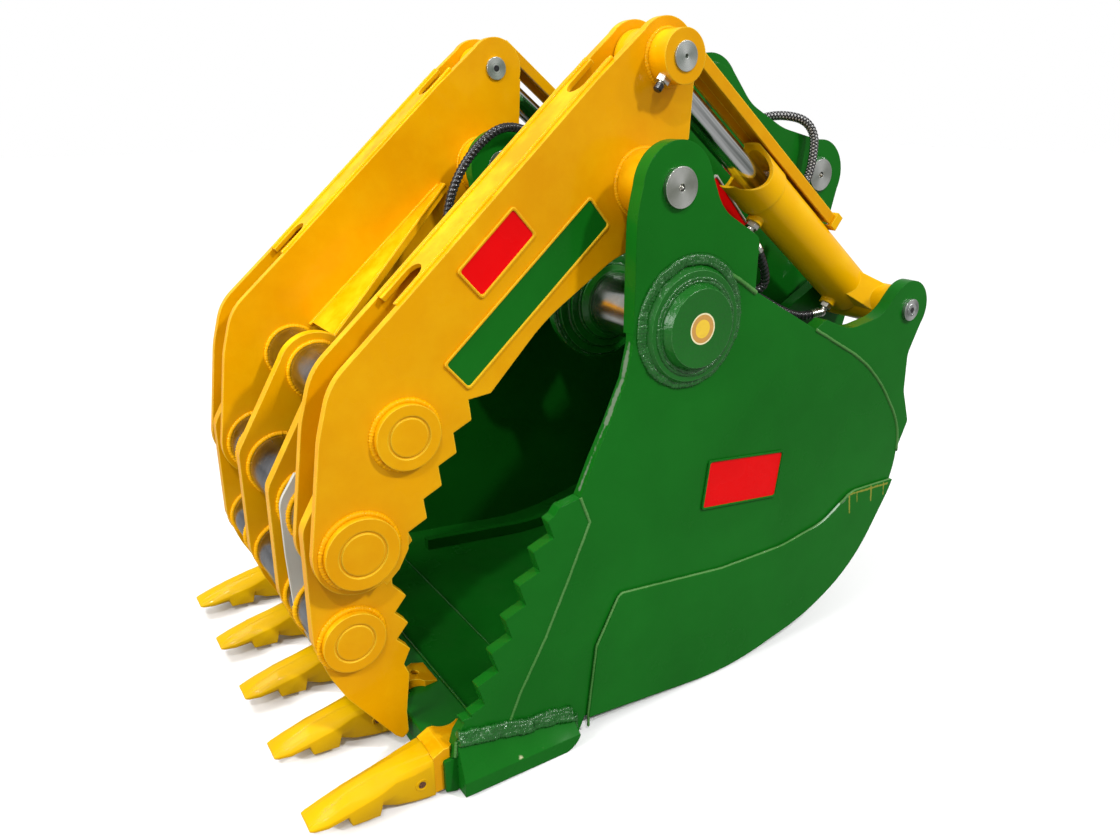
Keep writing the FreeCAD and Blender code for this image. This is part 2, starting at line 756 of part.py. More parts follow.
def rod():
    eye = Part.makeCylinder(rodEyeRadius, rodEyeWidth, V(cylinderLength, -rodEyeWidth / 2, 0), V(0, 1, 0))
    shank = drum(rodRadius, glandStart - pistonLength - 10, cylinderLength - rodEyeRadius + 12)
    along = rodPinRadius + 3
    slot = Part.makeCylinder(along, rodEyeWidth + 2,
                             V(cylinderLength, -rodEyeWidth / 2 - 1, eyeSlip), V(0, 1, 0))
    other = Part.makeCylinder(along, rodEyeWidth + 2,
                              V(cylinderLength, -rodEyeWidth / 2 - 1, -eyeSlip), V(0, 1, 0))
    between = Part.makeBox(2 * along, rodEyeWidth + 2, 2 * eyeSlip,
                           V(cylinderLength - along, -rodEyeWidth / 2 - 1, -eyeSlip))
    return joined(eye, shank).cut([slot, other, between]).removeSplitter()


def piston():
    start = glandStart - pistonLength - 5
    return drum(boreRadius - runningFit, start, start + pistonLength).cut(drum(rodRadius, 0, barrelEnd))


def guard():
    start = keeperPlace - 20
    end = cylinderLength + 6
    low = -guardRise - guardThickness
    half = guardWidth / 2
    web = Part.makeBox(end - start, guardWidth, guardThickness, V(start, -half, low))
    edges = [
        Part.makeBox(end - start, guardThickness, guardFlange, V(start, y, -guardRise))
        for y in (-half, half - guardThickness)
    ]
    post = Part.makeBox(60, rodEyeWidth - 10, guardRise, V(end - 66, -rodEyeWidth / 2 + 5, -guardRise))
    eye = Part.makeCylinder(rodEyeRadius, 400, V(cylinderLength, -200, 0), V(0, 1, 0))
    post = post.cut([eye, drum(rodRadius, 0, cylinderLength)])
    post = max(post.Solids, key=lambda s: -s.CenterOfMass.z)
    return joined(web, edges[0], edges[1], post)


# Elbow fitting: a nut on its seat, a short stem and a ferrule that the hose is crimped into.
def elbow(foot, out, tail):
    tail = V(tail).normalize()
    knee = foot + out * elbowReach
    nut = hexBar(portRadius, foot, out, 14)
    stem = Part.makeCylinder(ferruleRadius - 3, elbowReach, foot, out)
    ball = Part.makeSphere(ferruleRadius, knee)
    ferrule = Part.makeCylinder(ferruleRadius, ferruleLength, knee, tail)
    return joined(nut, stem, ball, ferrule)


# Seat of the near cylinder's port at a distance from the base pin, and its outward direction.
def portSeat(place):
    out = V(-math.sin(cylinderAngle), 0, math.cos(cylinderAngle))
    if out.z > 0:
        out = out * -1
    along = V(math.cos(cylinderAngle), 0, math.sin(cylinderAngle))
    return V(basePinX, -armMiddle, basePinZ) + along * place + out * (barrelRadius + 14), out


portTails = ((-0.92, 0.2, -0.1), (0.68, 0.0, -0.74))


def portFittings():
    return [elbow(*portSeat(place), tail) for place, tail in zip(portPlaces, portTails)]


# Seats on the hanger plates where hoses end: x, y, z, side that the fitting faces, tail.
bulkheads = {
    "rodPort": (1312, -hangerOuter, 1150, -1, (0.77, -0.2, -0.6)),
    "basePort": (1440, -hangerOuter, 1085, -1, (0.93, -0.15, -0.33)),
    "linkOuter": (1735, -hangerOuter, 1250, -1, (0.35, -0.1, 0.93)),
    "linkInner": (1600, -hangerInner, 1385, 1, (0.1, 0.0, 1.0)),
    "frontUpper": (1110, hangerInner, 1478, -1, (-0.9, 0.0, 0.4)),
    "frontLower": (965, hangerInner, 1190, -1, (-0.95, 0.0, -0.3)),
}


def bulkhead(name):
    x, y, z, facing, tail = bulkheads[name]
    return V(x, y, z), V(0, facing, 0), tail


def hoseBulkheads():
    fittings = [elbow(*bulkhead(name)) for name in bulkheads]
    return fittings + [mirrored(piece) for piece in fittings[:2]]


# Route of a hose between two elbows, leaving each one straight along its ferrule. A first elbow
# that swings with its cylinder keeps a gap to the hose's mouth.
def hoseRoute(first, points, last, gap):
    ends = []
    for (foot, out, tail), space in ((first, gap), (last, 0.0)):
        along = V(tail).normalize()
        mouth = foot + out * elbowReach + along * (ferruleLength + space)
        ends.append([mouth, mouth + along * hoseLead])
    return ends[0] + [V(*point) for point in points] + ends[1][::-1]


# Tube along straight runs joined by tangent arcs, each as large as its two runs allow.
def hose(points, name):
    edges = []
    radii = []
    last = points[0]
    for i in range(1, len(points) - 1):
        here = points[i]
        back = points[i - 1] - here
        on = points[i + 1] - here
        reach = 0.45 * min(back.Length, on.Length)
        back = back.normalize()
        on = on.normalize()
        half = back.getAngle(on) / 2
        radius = reach * math.tan(half)
        radii.append(round(radius))
        middle = here + (back + on).normalize() * (radius / math.sin(half) - radius)
        start = here + back * reach
        end = here + on * reach
        edges.append(Part.makeLine(last, start))
        edges.append(Part.Arc(start, middle, end).toShape())
        last = end
    edges.append(Part.makeLine(last, points[-1]))
    path = Part.Wire(edges)
    first = points[1] - points[0]
    section = Part.Wire([Part.makeCircle(hoseRadius, points[0], first)])
    solid = path.makePipeShell([section], True, False)
    expected = math.pi * hoseRadius ** 2 * path.Length
    print("hose", name, "length", round(path.Length), "radii", radii, "volume ratio",
          round(solid.Volume / expected, 3))
    print("  route", [[round(p.x), round(p.y), round(p.z)] for p in points])
    return solid


def rodPortHose():
    points = [(1524, -388, 1088), (1484, -368, 1062), (1424, -334, 1062)]
    first = portSeat(portPlaces[1]) + (portTails[1],)
    return hose(hoseRoute(first, points, bulkhead("rodPort"), hoseGap), "rod port")


def basePortHose():
    points = [(1608, -350, 1000), (1566, -326, 1032)]
    first = portSeat(portPlaces[0]) + (portTails[0],)
    return hose(hoseRoute(first, points, bulkhead("basePort"), hoseGap), "base port")


def linkHose():
    points = [
        (1797, -272, 1385), (1806, -270, 1440), (1810, -264, 1492), (1784, -246, 1534),
        (1732, -212, 1548), (1676, -178, 1543), (1626, -166, 1516),
    ]
    return hose(hoseRoute(bulkhead("linkOuter"), points, bulkhead("linkInner"), 0.0), "link")


def frontHose():
    points = [
        (950, 153, 1518), (872, 150, 1468), (812, 150, 1398), (778, 152, 1325),
        (764, 156, 1250), (786, 160, 1186),
    ]
    return hose(hoseRoute(bulkhead("frontUpper"), points, bulkhead("frontLower"), 0.0), "front")


def main():
    os.makedirs("parts", exist_ok=True)

    side = sidePlate().cut(bar(shaftX, shaftZ, shaftRadius, -halfWidth - 1, -sideInner + 1))
    lip = lipBar()
    side = side.cut(lip)
    save("side_plate_near", side)
    save("side_plate_far", mirrored(side))
    save("claw_ears", bothSides(clawEar(sidePlate())))
    trim = grown(sidePlate(), -halfWidth, -halfWidth + earThickness)
    inner = bucketRegion(-sideInner, -halfWidth + earThickness + 1)
    outerEar = cylinderEar(-halfWidth, -halfWidth + earThickness, [trim, inner])
    save("cylinder_ears", bothSides(outerEar) + bothSides(innerEar()))
    shell = wrapperShell()
    save("wrapper_shell", shell)
    save("lip_plate", lip)
    cutter = sideCutter(lip)
    save("side_cutter_near", cutter)
    save("side_cutter_far", mirrored(cutter))
    save("corner_pads", bothSides(cornerPad()))
    save("side_wear_plates", bothSides(sideWearPlate()))
    save("heel_wear_strips", heelStrips())
    save("floor_ribs", floorRibs())

    hanger = hangerPlate()
    save("hanger_plate_near", hanger)
    save("hanger_plate_far", mirrored(hanger))
    save("hanger_bosses", hangerBosses())
    save("link_pin", linkPin())
    save("shaft_bosses", bothSides(shaftBoss()))
    save("shaft_collars", bothSides(shaftCollar()))
    save("cross_shaft", bar(shaftX, shaftZ, shaftRadius, -halfWidth, halfWidth))

    teeth, adapters, toothPins = toothSet(lip)
    save("teeth", teeth)
    save("tooth_adapters", adapters)
    save("tooth_pins", toothPins)

    pivotPin = headedPin(pivotX, pivotZ, pivotPinRadius, pivotPinRadius, -halfWidth - pinHead,
                         -hangerInner, pinHead)
    save("pivot_pins", bothSides(pivotPin))
    basePin = headedPin(basePinX, basePinZ, basePinRadius, basePinRadius, -halfWidth - pinHead,
                        -innerEarOuter + earThickness, pinHead)
    save("base_pins", bothSides(basePin))
    save("hose_bulkheads", hoseBulkheads())
    rodHose = rodPortHose()
    baseHose = basePortHose()
    save("hose_rod_port_near", rodHose)
    save("hose_rod_port_far", mirrored(rodHose))
    save("hose_base_port_near", baseHose)
    save("hose_base_port_far", mirrored(baseHose))
    save("hose_link", linkHose())
    save("hose_front", frontHose())

    outerArm = armPlateShape(-armOuterFace, -armOuterFace + armPlate)
    innerArm = armPlateShape(-armInnerFace - armPlate, -armInnerFace)
    save("arm_plate_near_outer", outerArm)
    save("arm_plate_near_inner", innerArm)
    save("arm_plate_far_inner", mirrored(innerArm))
    save("arm_plate_far_outer", mirrored(outerArm))
    places = (-outerFingerPlace, -innerFingerPlace, innerFingerPlace, outerFingerPlace)
    for number, place in enumerate(places):
        save("finger_%d" % (number + 1), finger(place))
    save("finger_stiffeners", gussets())
    save("finger_doubler", fingerDoubler())
    save("arm_covers", armCovers() + innerCovers())
    save("cross_tubes", crossTubes())
    save("tube_caps", tubeCaps())
    save("pivot_hubs", bothSides(pivotHub()))
    boss, rodPin, bolt = rodPinParts()
    save("rod_pin_bosses", bothSides(boss))
    save("rod_pins", bothSides(rodPin))
    save("lock_bolts", bothSides(bolt))

    pieces = {
        "barrel": joined(barrel(), keeper()), "gland": gland(), "rod": rod(), "piston": piston(),
        "rod_guard": guard(),
    }
    for name, piece in pieces.items():
        near = placed(piece)
        save(name + "_near", near)
        save(name + "_far", mirrored(near))
    save("port_fittings_near", portFittings())
    save("port_fittings_far", [mirrored(item) for item in portFittings()])


main()
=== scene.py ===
import bpy, bmesh, json, math
from mathutils import Vector, Matrix


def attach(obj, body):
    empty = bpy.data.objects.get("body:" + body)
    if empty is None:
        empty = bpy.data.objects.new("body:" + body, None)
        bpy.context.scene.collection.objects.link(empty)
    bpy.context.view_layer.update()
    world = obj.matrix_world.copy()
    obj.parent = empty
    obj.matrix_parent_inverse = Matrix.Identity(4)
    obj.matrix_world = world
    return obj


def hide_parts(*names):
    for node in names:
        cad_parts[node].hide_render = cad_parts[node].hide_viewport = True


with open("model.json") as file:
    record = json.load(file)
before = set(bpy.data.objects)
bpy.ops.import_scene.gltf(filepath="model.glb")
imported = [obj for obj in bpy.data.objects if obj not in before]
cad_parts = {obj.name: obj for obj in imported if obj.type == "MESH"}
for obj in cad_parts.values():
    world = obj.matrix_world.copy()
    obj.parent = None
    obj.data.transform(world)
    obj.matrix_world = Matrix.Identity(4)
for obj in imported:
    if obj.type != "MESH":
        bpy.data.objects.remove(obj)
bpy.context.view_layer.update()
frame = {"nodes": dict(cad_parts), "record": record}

# Excavator claw bucket: paint, welds, cast teeth, plates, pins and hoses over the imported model.
# Places are given in millimetres as on the drawing: x from the tooth tips towards the back,
# y across with the near side negative, z up from the ground. at() turns them into metres.

nodes = frame["nodes"]

# Where the pins and the cross shaft lie in side view, as x and z. The arm pin is the origin.
armPin, linkPin = (1395, 1605), (1880, 1370)
pivotPin, rodPin, basePin = (980, 1403), (1041, 1680), (1911, 1003)
shaft = (1040, 1075)


def at(x, y, z):
    return Vector(((x - armPin[0]) / 1000, y / 1000, (z - armPin[1]) / 1000))


def keep(mesh, name, body, material=None):
    obj = bpy.data.objects.new(name, mesh)
    bpy.context.scene.collection.objects.link(obj)
    if material is not None:
        mesh.materials.clear()
        mesh.materials.append(material)
    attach(obj, body)
    return obj


# Shader building.
def shaderGroup(name, inputs, outputs):
    tree = bpy.data.node_groups.new(name, "ShaderNodeTree")
    kinds = {"f": "NodeSocketFloat", "c": "NodeSocketColor", "v": "NodeSocketVector"}
    for label, kind, value in inputs:
        socket = tree.interface.new_socket(label, in_out="INPUT", socket_type=kinds[kind])
        if value is not None:
            socket.default_value = value
    for label, kind in outputs:
        tree.interface.new_socket(label, in_out="OUTPUT", socket_type=kinds[kind])
    return tree, tree.nodes.new("NodeGroupInput"), tree.nodes.new("NodeGroupOutput")


def put(tree, kind, values=None, **settings):
    node = tree.nodes.new(kind)
    for name, value in settings.items():
        setattr(node, name, value)
    for name, value in (values or {}).items():
        if isinstance(value, bpy.types.NodeSocket):
            tree.links.new(value, node.inputs[name])
        else:
            node.inputs[name].default_value = value
    return node


def noise(tree, vector, scale, detail=4.0, roughness=0.55, distortion=0.0):
    values = {"Vector": vector, "Scale": scale, "Detail": detail, "Roughness": roughness}
    values["Distortion"] = distortion
    return put(tree, "ShaderNodeTexNoise", values).outputs["Fac"]


def between(tree, value, low, high, toLow=0.0, toHigh=1.0):
    node = put(tree, "ShaderNodeMapRange", {"Value": value, "From Min": low, "From Max": high,
                                            "To Min": toLow, "To Max": toHigh})
    return node.outputs["Result"]


def calc(tree, kind, a, b=0.0):
    node = tree.nodes.new("ShaderNodeMath")
    node.operation = kind
    for socket, value in zip(node.inputs, (a, b)):
        if isinstance(value, bpy.types.NodeSocket):
            tree.links.new(value, socket)
        else:
            socket.default_value = value
    return node.outputs[0]


def vectorCalc(tree, kind, a, b):
    node = put(tree, "ShaderNodeVectorMath", operation=kind)
    tree.links.new(a, node.inputs[0])
    tree.links.new(b, node.inputs[1])
    return node.outputs["Value" if kind in ("DOT_PRODUCT", "DISTANCE") else "Vector"]


def blendColour(tree, mask, a, b):
    node = tree.nodes.new("ShaderNodeMix")
    node.data_type = "RGBA"
    for place, value in ((0, mask), (6, a), (7, b)):
        if isinstance(value, bpy.types.NodeSocket):
            tree.links.new(value, node.inputs[place])
        else:
            node.inputs[place].default_value = value
    return node.outputs[2]


# Orange peel and slow flow of thick sprayed paint, with a cloudy mask for its shade.
def makePaintFilm():
    tree, given, out = shaderGroup("paintFilm", [
        ("Vector", "v", None), ("Peel Scale", "f", 300.0), ("Peel", "f", 0.3),
        ("Flow Scale", "f", 14.0), ("Flow", "f", 1.0),
    ], [("Height", "f"), ("Cloud", "f")])
    peel = noise(tree, given.outputs["Vector"], given.outputs["Peel Scale"], 2.0)
    flow = noise(tree, given.outputs["Vector"], given.outputs["Flow Scale"], 2.0, 0.4, 0.6)
    height = calc(tree, "ADD", calc(tree, "MULTIPLY", peel, given.outputs["Peel"]),
                  calc(tree, "MULTIPLY", flow, given.outputs["Flow"]))
    cloud = noise(tree, given.outputs["Vector"], 2.6, 5.0, 0.6)
    tree.links.new(height, out.inputs["Height"])
    tree.links.new(between(tree, cloud, 0.3, 0.7), out.inputs["Cloud"])
    return tree


# Rounds sharp plate edges in the shading and marks them for a paler colour: worn paint, and where
# that colour is pale a painted highlight along the edge.
def makeEdgeWearAndSheen():
    tree, given, out = shaderGroup("edgeWearAndSheen", [
        ("Vector", "v", None), ("Radius", "f", 0.003), ("Spread", "f", 0.5),
    ], [("Mask", "f"), ("Normal", "v")])
    rounded = put(tree, "ShaderNodeBevel", {"Radius": given.outputs["Radius"]}, samples=4)
    flat = put(tree, "ShaderNodeNewGeometry")
    match = vectorCalc(tree, "DOT_PRODUCT", rounded.outputs["Normal"], flat.outputs["Normal"])
    edge = between(tree, match, 0.98, 0.8)
    patch = noise(tree, given.outputs["Vector"], 60.0, 5.0, 0.65)
    low = calc(tree, "SUBTRACT", 1.0, given.outputs["Spread"])
    chosen = between(tree, calc(tree, "SUBTRACT", patch, low), 0.0, 0.12)
    tree.links.new(calc(tree, "MULTIPLY", edge, chosen), out.inputs["Mask"])
    tree.links.new(rounded.outputs["Normal"], out.inputs["Normal"])
    return tree


# Thin dust on faces that look up, thicker in patches; on the yellow paints the same mask paints a
# lemon sheen of top light.
def makeDustAndTopSheen():
    tree, given, out = shaderGroup("dustAndTopSheen", [("Vector", "v", None), ("Amount", "f", 0.3)],
                                   [("Mask", "f")])
    flat = put(tree, "ShaderNodeNewGeometry")
    split = put(tree, "ShaderNodeSeparateXYZ", {"Vector": flat.outputs["Normal"]})
    up = between(tree, split.outputs["Z"], -0.2, 1.0)
    patch = between(tree, noise(tree, given.outputs["Vector"], 9.0, 6.0, 0.65), 0.42, 0.75)
    both = calc(tree, "MULTIPLY", calc(tree, "MULTIPLY", up, patch), given.outputs["Amount"])
    tree.links.new(both, out.inputs["Mask"])
    return tree


# Long fine scratches, from noise stretched along one direction.
def makeBrushed():
    tree, given, out = shaderGroup("brushed", [("Vector", "v", None), ("Stretch", "v", (1, 1, 1))],
                                   [("Grain", "f")])
    scaled = put(tree, "ShaderNodeMapping", {"Vector": given.outputs["Vector"],
                                             "Scale": given.outputs["Stretch"]})
    grain = noise(tree, scaled.outputs["Vector"], 40.0, 3.0, 0.6)
    tree.links.new(grain, out.inputs["Grain"])
    return tree


# A band of colour along the line from Start to End, broken up by noise: scraped paint and drips, and
# pale bands that are worn paint and a painted highlight together.
def makeScuffAndSheenBand():
    tree, given, out = shaderGroup("scuffAndSheenBand", [
        ("Vector", "v", None), ("Start", "v", (0, 0, 0)), ("End", "v", (1, 0, 0)),
        ("Width", "f", 0.02), ("Spread", "f", 0.5),
    ], [("Mask", "f")])
    reach = vectorCalc(tree, "SUBTRACT", given.outputs["Vector"], given.outputs["Start"])
    line = vectorCalc(tree, "SUBTRACT", given.outputs["End"], given.outputs["Start"])
    share = calc(tree, "DIVIDE", vectorCalc(tree, "DOT_PRODUCT", reach, line),
                 vectorCalc(tree, "DOT_PRODUCT", line, line))
    share = calc(tree, "MINIMUM", calc(tree, "MAXIMUM", share, 0.0), 1.0)
    foot = put(tree, "ShaderNodeVectorMath", {"Scale": share}, operation="SCALE")
    tree.links.new(line, foot.inputs[0])
    away = vectorCalc(tree, "DISTANCE", reach, foot.outputs[0])
    near = between(tree, away, given.outputs["Width"], 0.0)
    patch = noise(tree, given.outputs["Vector"], 70.0, 6.0, 0.7)
    low = calc(tree, "SUBTRACT", 1.78, given.outputs["Spread"])  # 1.78 keeps Spread within 0 to 1
    mask = between(tree, calc(tree, "SUBTRACT", calc(tree, "ADD", patch, near), low), 0.0, 0.2)
    tree.links.new(calc(tree, "MULTIPLY", mask, between(tree, near, 0.0, 0.2)), out.inputs["Mask"])
    return tree


# Rings left by a lathe round Centre, and the sweep of light across them.
def makeLatheMarks():
    tree, given, out = shaderGroup("latheMarks", [
        ("Vector", "v", None), ("Centre", "v", (0, 0, 0)),
    ], [("Ring", "f"), ("Sweep", "f")])
    reach = vectorCalc(tree, "SUBTRACT", given.outputs["Vector"], given.outputs["Centre"])
    split = put(tree, "ShaderNodeSeparateXYZ", {"Vector": reach})
    x, z = split.outputs["X"], split.outputs["Z"]
    square = calc(tree, "ADD", calc(tree, "MULTIPLY", x, x), calc(tree, "MULTIPLY", z, z))
    far = calc(tree, "SQRT", square)
    line = put(tree, "ShaderNodeCombineXYZ", {"X": far})
    ring = noise(tree, line.outputs["Vector"], 700.0, 3.0, 0.6)
    turn = calc(tree, "ADD", calc(tree, "MULTIPLY", calc(tree, "ARCTAN2", z, x), 2.0), 0.9)
    smudge = noise(tree, given.outputs["Vector"], 40.0, 4.0, 0.6)
    sweep = calc(tree, "ADD", calc(tree, "SINE", turn), calc(tree, "MULTIPLY", smudge, 1.4))
    tree.links.new(ring, out.inputs["Ring"])
    tree.links.new(between(tree, sweep, -0.4, 1.8), out.inputs["Sweep"])
    return tree


paintFilm = makePaintFilm()
edgeWearAndSheen = makeEdgeWearAndSheen()
dustAndTopSheen = makeDustAndTopSheen()
brushed = makeBrushed()
scuffAndSheenBand = makeScuffAndSheenBand()
latheMarks = makeLatheMarks()


def newMaterial(name):
    material = bpy.data.materials.new(name)
    material.use_nodes = True
    tree = material.node_tree
    shader = tree.nodes["Principled BSDF"]
    where = tree.nodes.new("ShaderNodeTexCoord").outputs["Object"]
    return material, tree, shader, where


def useGroup(tree, group, **values):
    node = tree.nodes.new("ShaderNodeGroup")
    node.node_tree = group
    for name, value in values.items():
        socket = node.inputs[name.replace("_", " ")]
        if isinstance(value, bpy.types.NodeSocket):
            tree.links.new(value, socket)
        else:
            socket.default_value = value
    return node


# Thick gloss enamel: look holds its colours and how it lies. The colour and haze given to faces that
# look up are dust, and on the yellow paints a painted sheen of top light; disc and foils paint a
# round spot.
def paintMaterial(name, look):
    material, tree, shader, where = newMaterial(name)
    film = useGroup(tree, paintFilm, Vector=where, Peel_Scale=look.get("peelScale", 260.0),
                    Peel=look.get("peel", 0.25), Flow_Scale=look.get("flowScale", 12.0),
                    Flow=1.0)
    wearAndSheen = useGroup(tree, edgeWearAndSheen, Vector=where, Radius=look.get("edge", 0.0035),
                    Spread=look.get("wearAndSheen", 0.42))
    dustAndSheen = useGroup(tree, dustAndTopSheen, Vector=where, Amount=look.get("dustAndSheen", 0.15))
    colour = blendColour(tree, film.outputs["Cloud"], look["deep"], look["colour"])
    # Marked edges take the worn colour: worn paint, and where it is pale a painted edge highlight.
    colour = blendColour(tree, wearAndSheen.outputs["Mask"], colour, look["wornAndSheen"])
    for start, end, width, spread, bandColour in look.get("scuffsAndSheens", ()):
        scuffAndSheen = useGroup(tree, scuffAndSheenBand, Vector=where, Start=at(*start), End=at(*end), Width=width,
                         Spread=spread)
        colour = blendColour(tree, scuffAndSheen.outputs["Mask"], colour, bandColour)
    # Faces that look up take the dust colour: dust, and on the yellow paints a painted sheen of top
    # light.
    dustAndSheenColour = look.get("dustAndSheenColour", (0.4, 0.38, 0.3, 1))
    colour = blendColour(tree, dustAndSheen.outputs["Mask"], colour, dustAndSheenColour)
    if "disc" in look:
        reach = put(tree, "ShaderNodeVectorMath", {0: where}, operation="DISTANCE")
        reach.inputs[1].default_value = at(*look["disc"])
        for radius, foil in look["foils"]:
            mask = between(tree, reach.outputs["Value"], radius, radius - 0.0007)
            colour = blendColour(tree, mask, colour, foil)
    tree.links.new(colour, shader.inputs["Base Color"])
    rough = between(tree, film.outputs["Cloud"], 0.0, 1.0, look["rough"] + 0.1, look["rough"])
    haze = look.get("haze", 0.5)
    rough = calc(tree, "ADD", rough, calc(tree, "MULTIPLY", dustAndSheen.outputs["Mask"], haze))
    tree.links.new(rough, shader.inputs["Roughness"])
    bump = put(tree, "ShaderNodeBump", {"Strength": look.get("bump", 0.25),
                                        "Distance": look.get("lump", 0.0006),
                                        "Height": film.outputs["Height"],
                                        "Normal": wearAndSheen.outputs["Normal"]})
    tree.links.new(bump.outputs["Normal"], shader.inputs["Normal"])
    shader.inputs["Specular IOR Level"].default_value = look.get("shine", 0.07)
    shader.inputs["Coat Weight"].default_value = look.get("coat", 0.09)
    shader.inputs["Coat Roughness"].default_value = 0.06
    return material


green = {"colour": (0.006, 0.138, 0.009, 1), "deep": (0.004, 0.108, 0.006, 1),
         "wornAndSheen": (0.03, 0.27, 0.04, 1), "rough": 0.2, "dustAndSheen": 0.01}
yellow = {"colour": (0.73, 0.34, 0.0, 1), "deep": (0.65, 0.28, 0.0, 1),
          # Yellow edges: a pale lemon worn colour, worn paint and a painted highlight along the
          # edges.
          "wornAndSheen": (1.0, 0.74, 0.05, 1), "rough": 0.24, "wearAndSheen": 0.75, "edge": 0.004, "dustAndSheen": 0.9,
          # On yellow the mask for faces that look up paints a lemon sheen of top light, with no
          # haze.
          "dustAndSheenColour": (0.9, 0.6, 0.012, 1), "haze": 0.0}
# Pale grey-green for bands that are worn paint and a painted highlight together.
paleWearAndSheen = (0.15, 0.22, 0.14, 1)
rusty = (0.24, 0.25, 0.03, 1)
paints = {
    "greenPaint": green,
    "sidePaint": dict(green, scuffsAndSheens=[
        # Pale bands down each side plate's front edge: worn paint and a painted highlight on the
        # rounded edge.
        ((722, -585, 713), (800, -585, 868), 0.016, 0.55, paleWearAndSheen),
        ((800, -585, 868), (862, -585, 1030), 0.017, 0.8, paleWearAndSheen),
        ((862, -585, 1030), (884, -585, 1180), 0.016, 0.65, paleWearAndSheen),
        ((722, 585, 713), (862, 585, 1058), 0.02, 0.7, paleWearAndSheen),
    ]),
    "padPaint": dict(green, scuffsAndSheens=[
        ((505, -642, 70), (515, -642, 55), 0.013, 0.95, (0.5, 0.5, 0.3, 1)),
        ((575, -642, 72), (583, -642, 55), 0.013, 0.9, (0.6, 0.6, 0.4, 1)),
        ((630, -642, 74), (640, -642, 60), 0.012, 0.9, (0.5, 0.5, 0.3, 1)),
        ((455, 642, 62), (640, 642, 52), 0.02, 0.42, (0.5, 0.45, 0.2, 1)),
    ]),
    "wearPaint": dict(green, scuffsAndSheens=[
        # The pale band along the wear-plate seam is worn paint and a painted highlight on the weld
        # fillet.
        ((1640, -612, 395), (1742, -612, 452), 0.02, 0.5, paleWearAndSheen),
        ((1722, -612, 462), (1738, -612, 380), 0.01, 0.62, rusty),
        ((1762, -612, 448), (1768, -612, 410), 0.009, 0.55, rusty),
        ((1830, -612, 450), (1838, -612, 396), 0.01, 0.68, rusty),
        ((1893, -612, 444), (1899, -612, 402), 0.01, 0.6, rusty),
        ((1722, -612, 446), (1912, -612, 436), 0.014, 0.58, rusty),
    ]),
    "yellowPaint": yellow,
    "toothPaint": {"colour": (0.7, 0.43, 0.0, 1), "deep": (0.6, 0.32, 0.0, 1),
                   "wornAndSheen": (0.95, 0.72, 0.06, 1), "rough": 0.32, "peelScale": 110.0, "peel": 0.9,
                   "bump": 0.45, "dustAndSheen": 0.03},
    "weldGreen": {"colour": (0.005, 0.13, 0.009, 1), "deep": (0.003, 0.085, 0.005, 1),
                  # Pale green on the bead ridges: worn paint and painted highlight specks on the
                  # welds.
                  "wornAndSheen": (0.3, 0.5, 0.3, 1), "rough": 0.14, "peelScale": 150.0, "peel": 1.6,
                  "flowScale": 50.0, "bump": 0.8, "coat": 0.0, "shine": 0.6, "edge": 0.003,
                  "wearAndSheen": 0.5, "dustAndSheen": 0.0, "lump": 0.0018},
    "bossPaint": {"colour": (0.006, 0.138, 0.009, 1), "deep": (0.004, 0.1, 0.006, 1),
                  "wornAndSheen": (0.12, 0.34, 0.12, 1), "rough": 0.16, "peelScale": 130.0, "peel": 0.7,
                  "flowScale": 40.0, "bump": 0.8, "coat": 0.0, "shine": 0.4, "edge": 0.003,
                  "wearAndSheen": 0.6, "dustAndSheen": 0.0, "lump": 0.0016, "disc": (shaft[0], -640, shaft[1]),
                  "foils": [(0.039, (0.82, 0.74, 0.45, 1)), (0.0352, (0.56, 0.29, 0.07, 1)),
                            (0.023, (0.82, 0.54, 0.04, 1))]},
    # Paler olive for the seam welds: worn paint and a painted highlight along the fillets.
    "weldOlive": {"colour": (0.1, 0.26, 0.07, 1), "deep": (0.05, 0.18, 0.035, 1),
                  "wornAndSheen": (0.2, 0.33, 0.13, 1), "rough": 0.3, "peelScale": 420.0, "peel": 1.0,
                  "flowScale": 60.0, "edge": 0.001, "dustAndSheen": 0.12},
    # A pale weld paint for painted glints of light on a weld seam.
    "weldPaintedGlint": {"colour": (0.5, 0.62, 0.5, 1), "deep": (0.1, 0.28, 0.1, 1),
                   "wornAndSheen": (0.8, 0.9, 0.82, 1), "rough": 0.16, "peelScale": 240.0, "peel": 1.4,
                   "flowScale": 90.0, "edge": 0.002, "wearAndSheen": 0.6, "dustAndSheen": 0.0},
    "weldYellow": {"colour": (0.86, 0.42, 0.0, 1), "deep": (0.74, 0.33, 0.0, 1),
                   "wornAndSheen": (0.95, 0.6, 0.01, 1), "rough": 0.22, "peelScale": 420.0, "peel": 0.8,
                   "flowScale": 60.0, "bump": 0.4, "edge": 0.001, "wearAndSheen": 0.3, "dustAndSheen": 0.03},
    # The barrel keeps the yellow paint's painted top sheen.
    "barrelPaint": {**yellow, "colour": (0.84, 0.45, 0.0, 1), "deep": (0.76, 0.38, 0.0, 1)},
    "redPaint": {"colour": (0.8, 0.001, 0.002, 1), "deep": (0.66, 0.001, 0.002, 1),
                 "wornAndSheen": (0.75, 0.03, 0.03, 1), "rough": 0.22, "edge": 0.0012, "dustAndSheen": 0.02},
    "doublerPaint": {"colour": (0.55, 0.55, 0.5, 1), "deep": (0.42, 0.42, 0.37, 1),
                     "wornAndSheen": (0.5, 0.4, 0.12, 1), "rough": 0.35, "wearAndSheen": 0.6, "dustAndSheen": 0.2},
}
paint = {name: paintMaterial(name, look) for name, look in paints.items()}
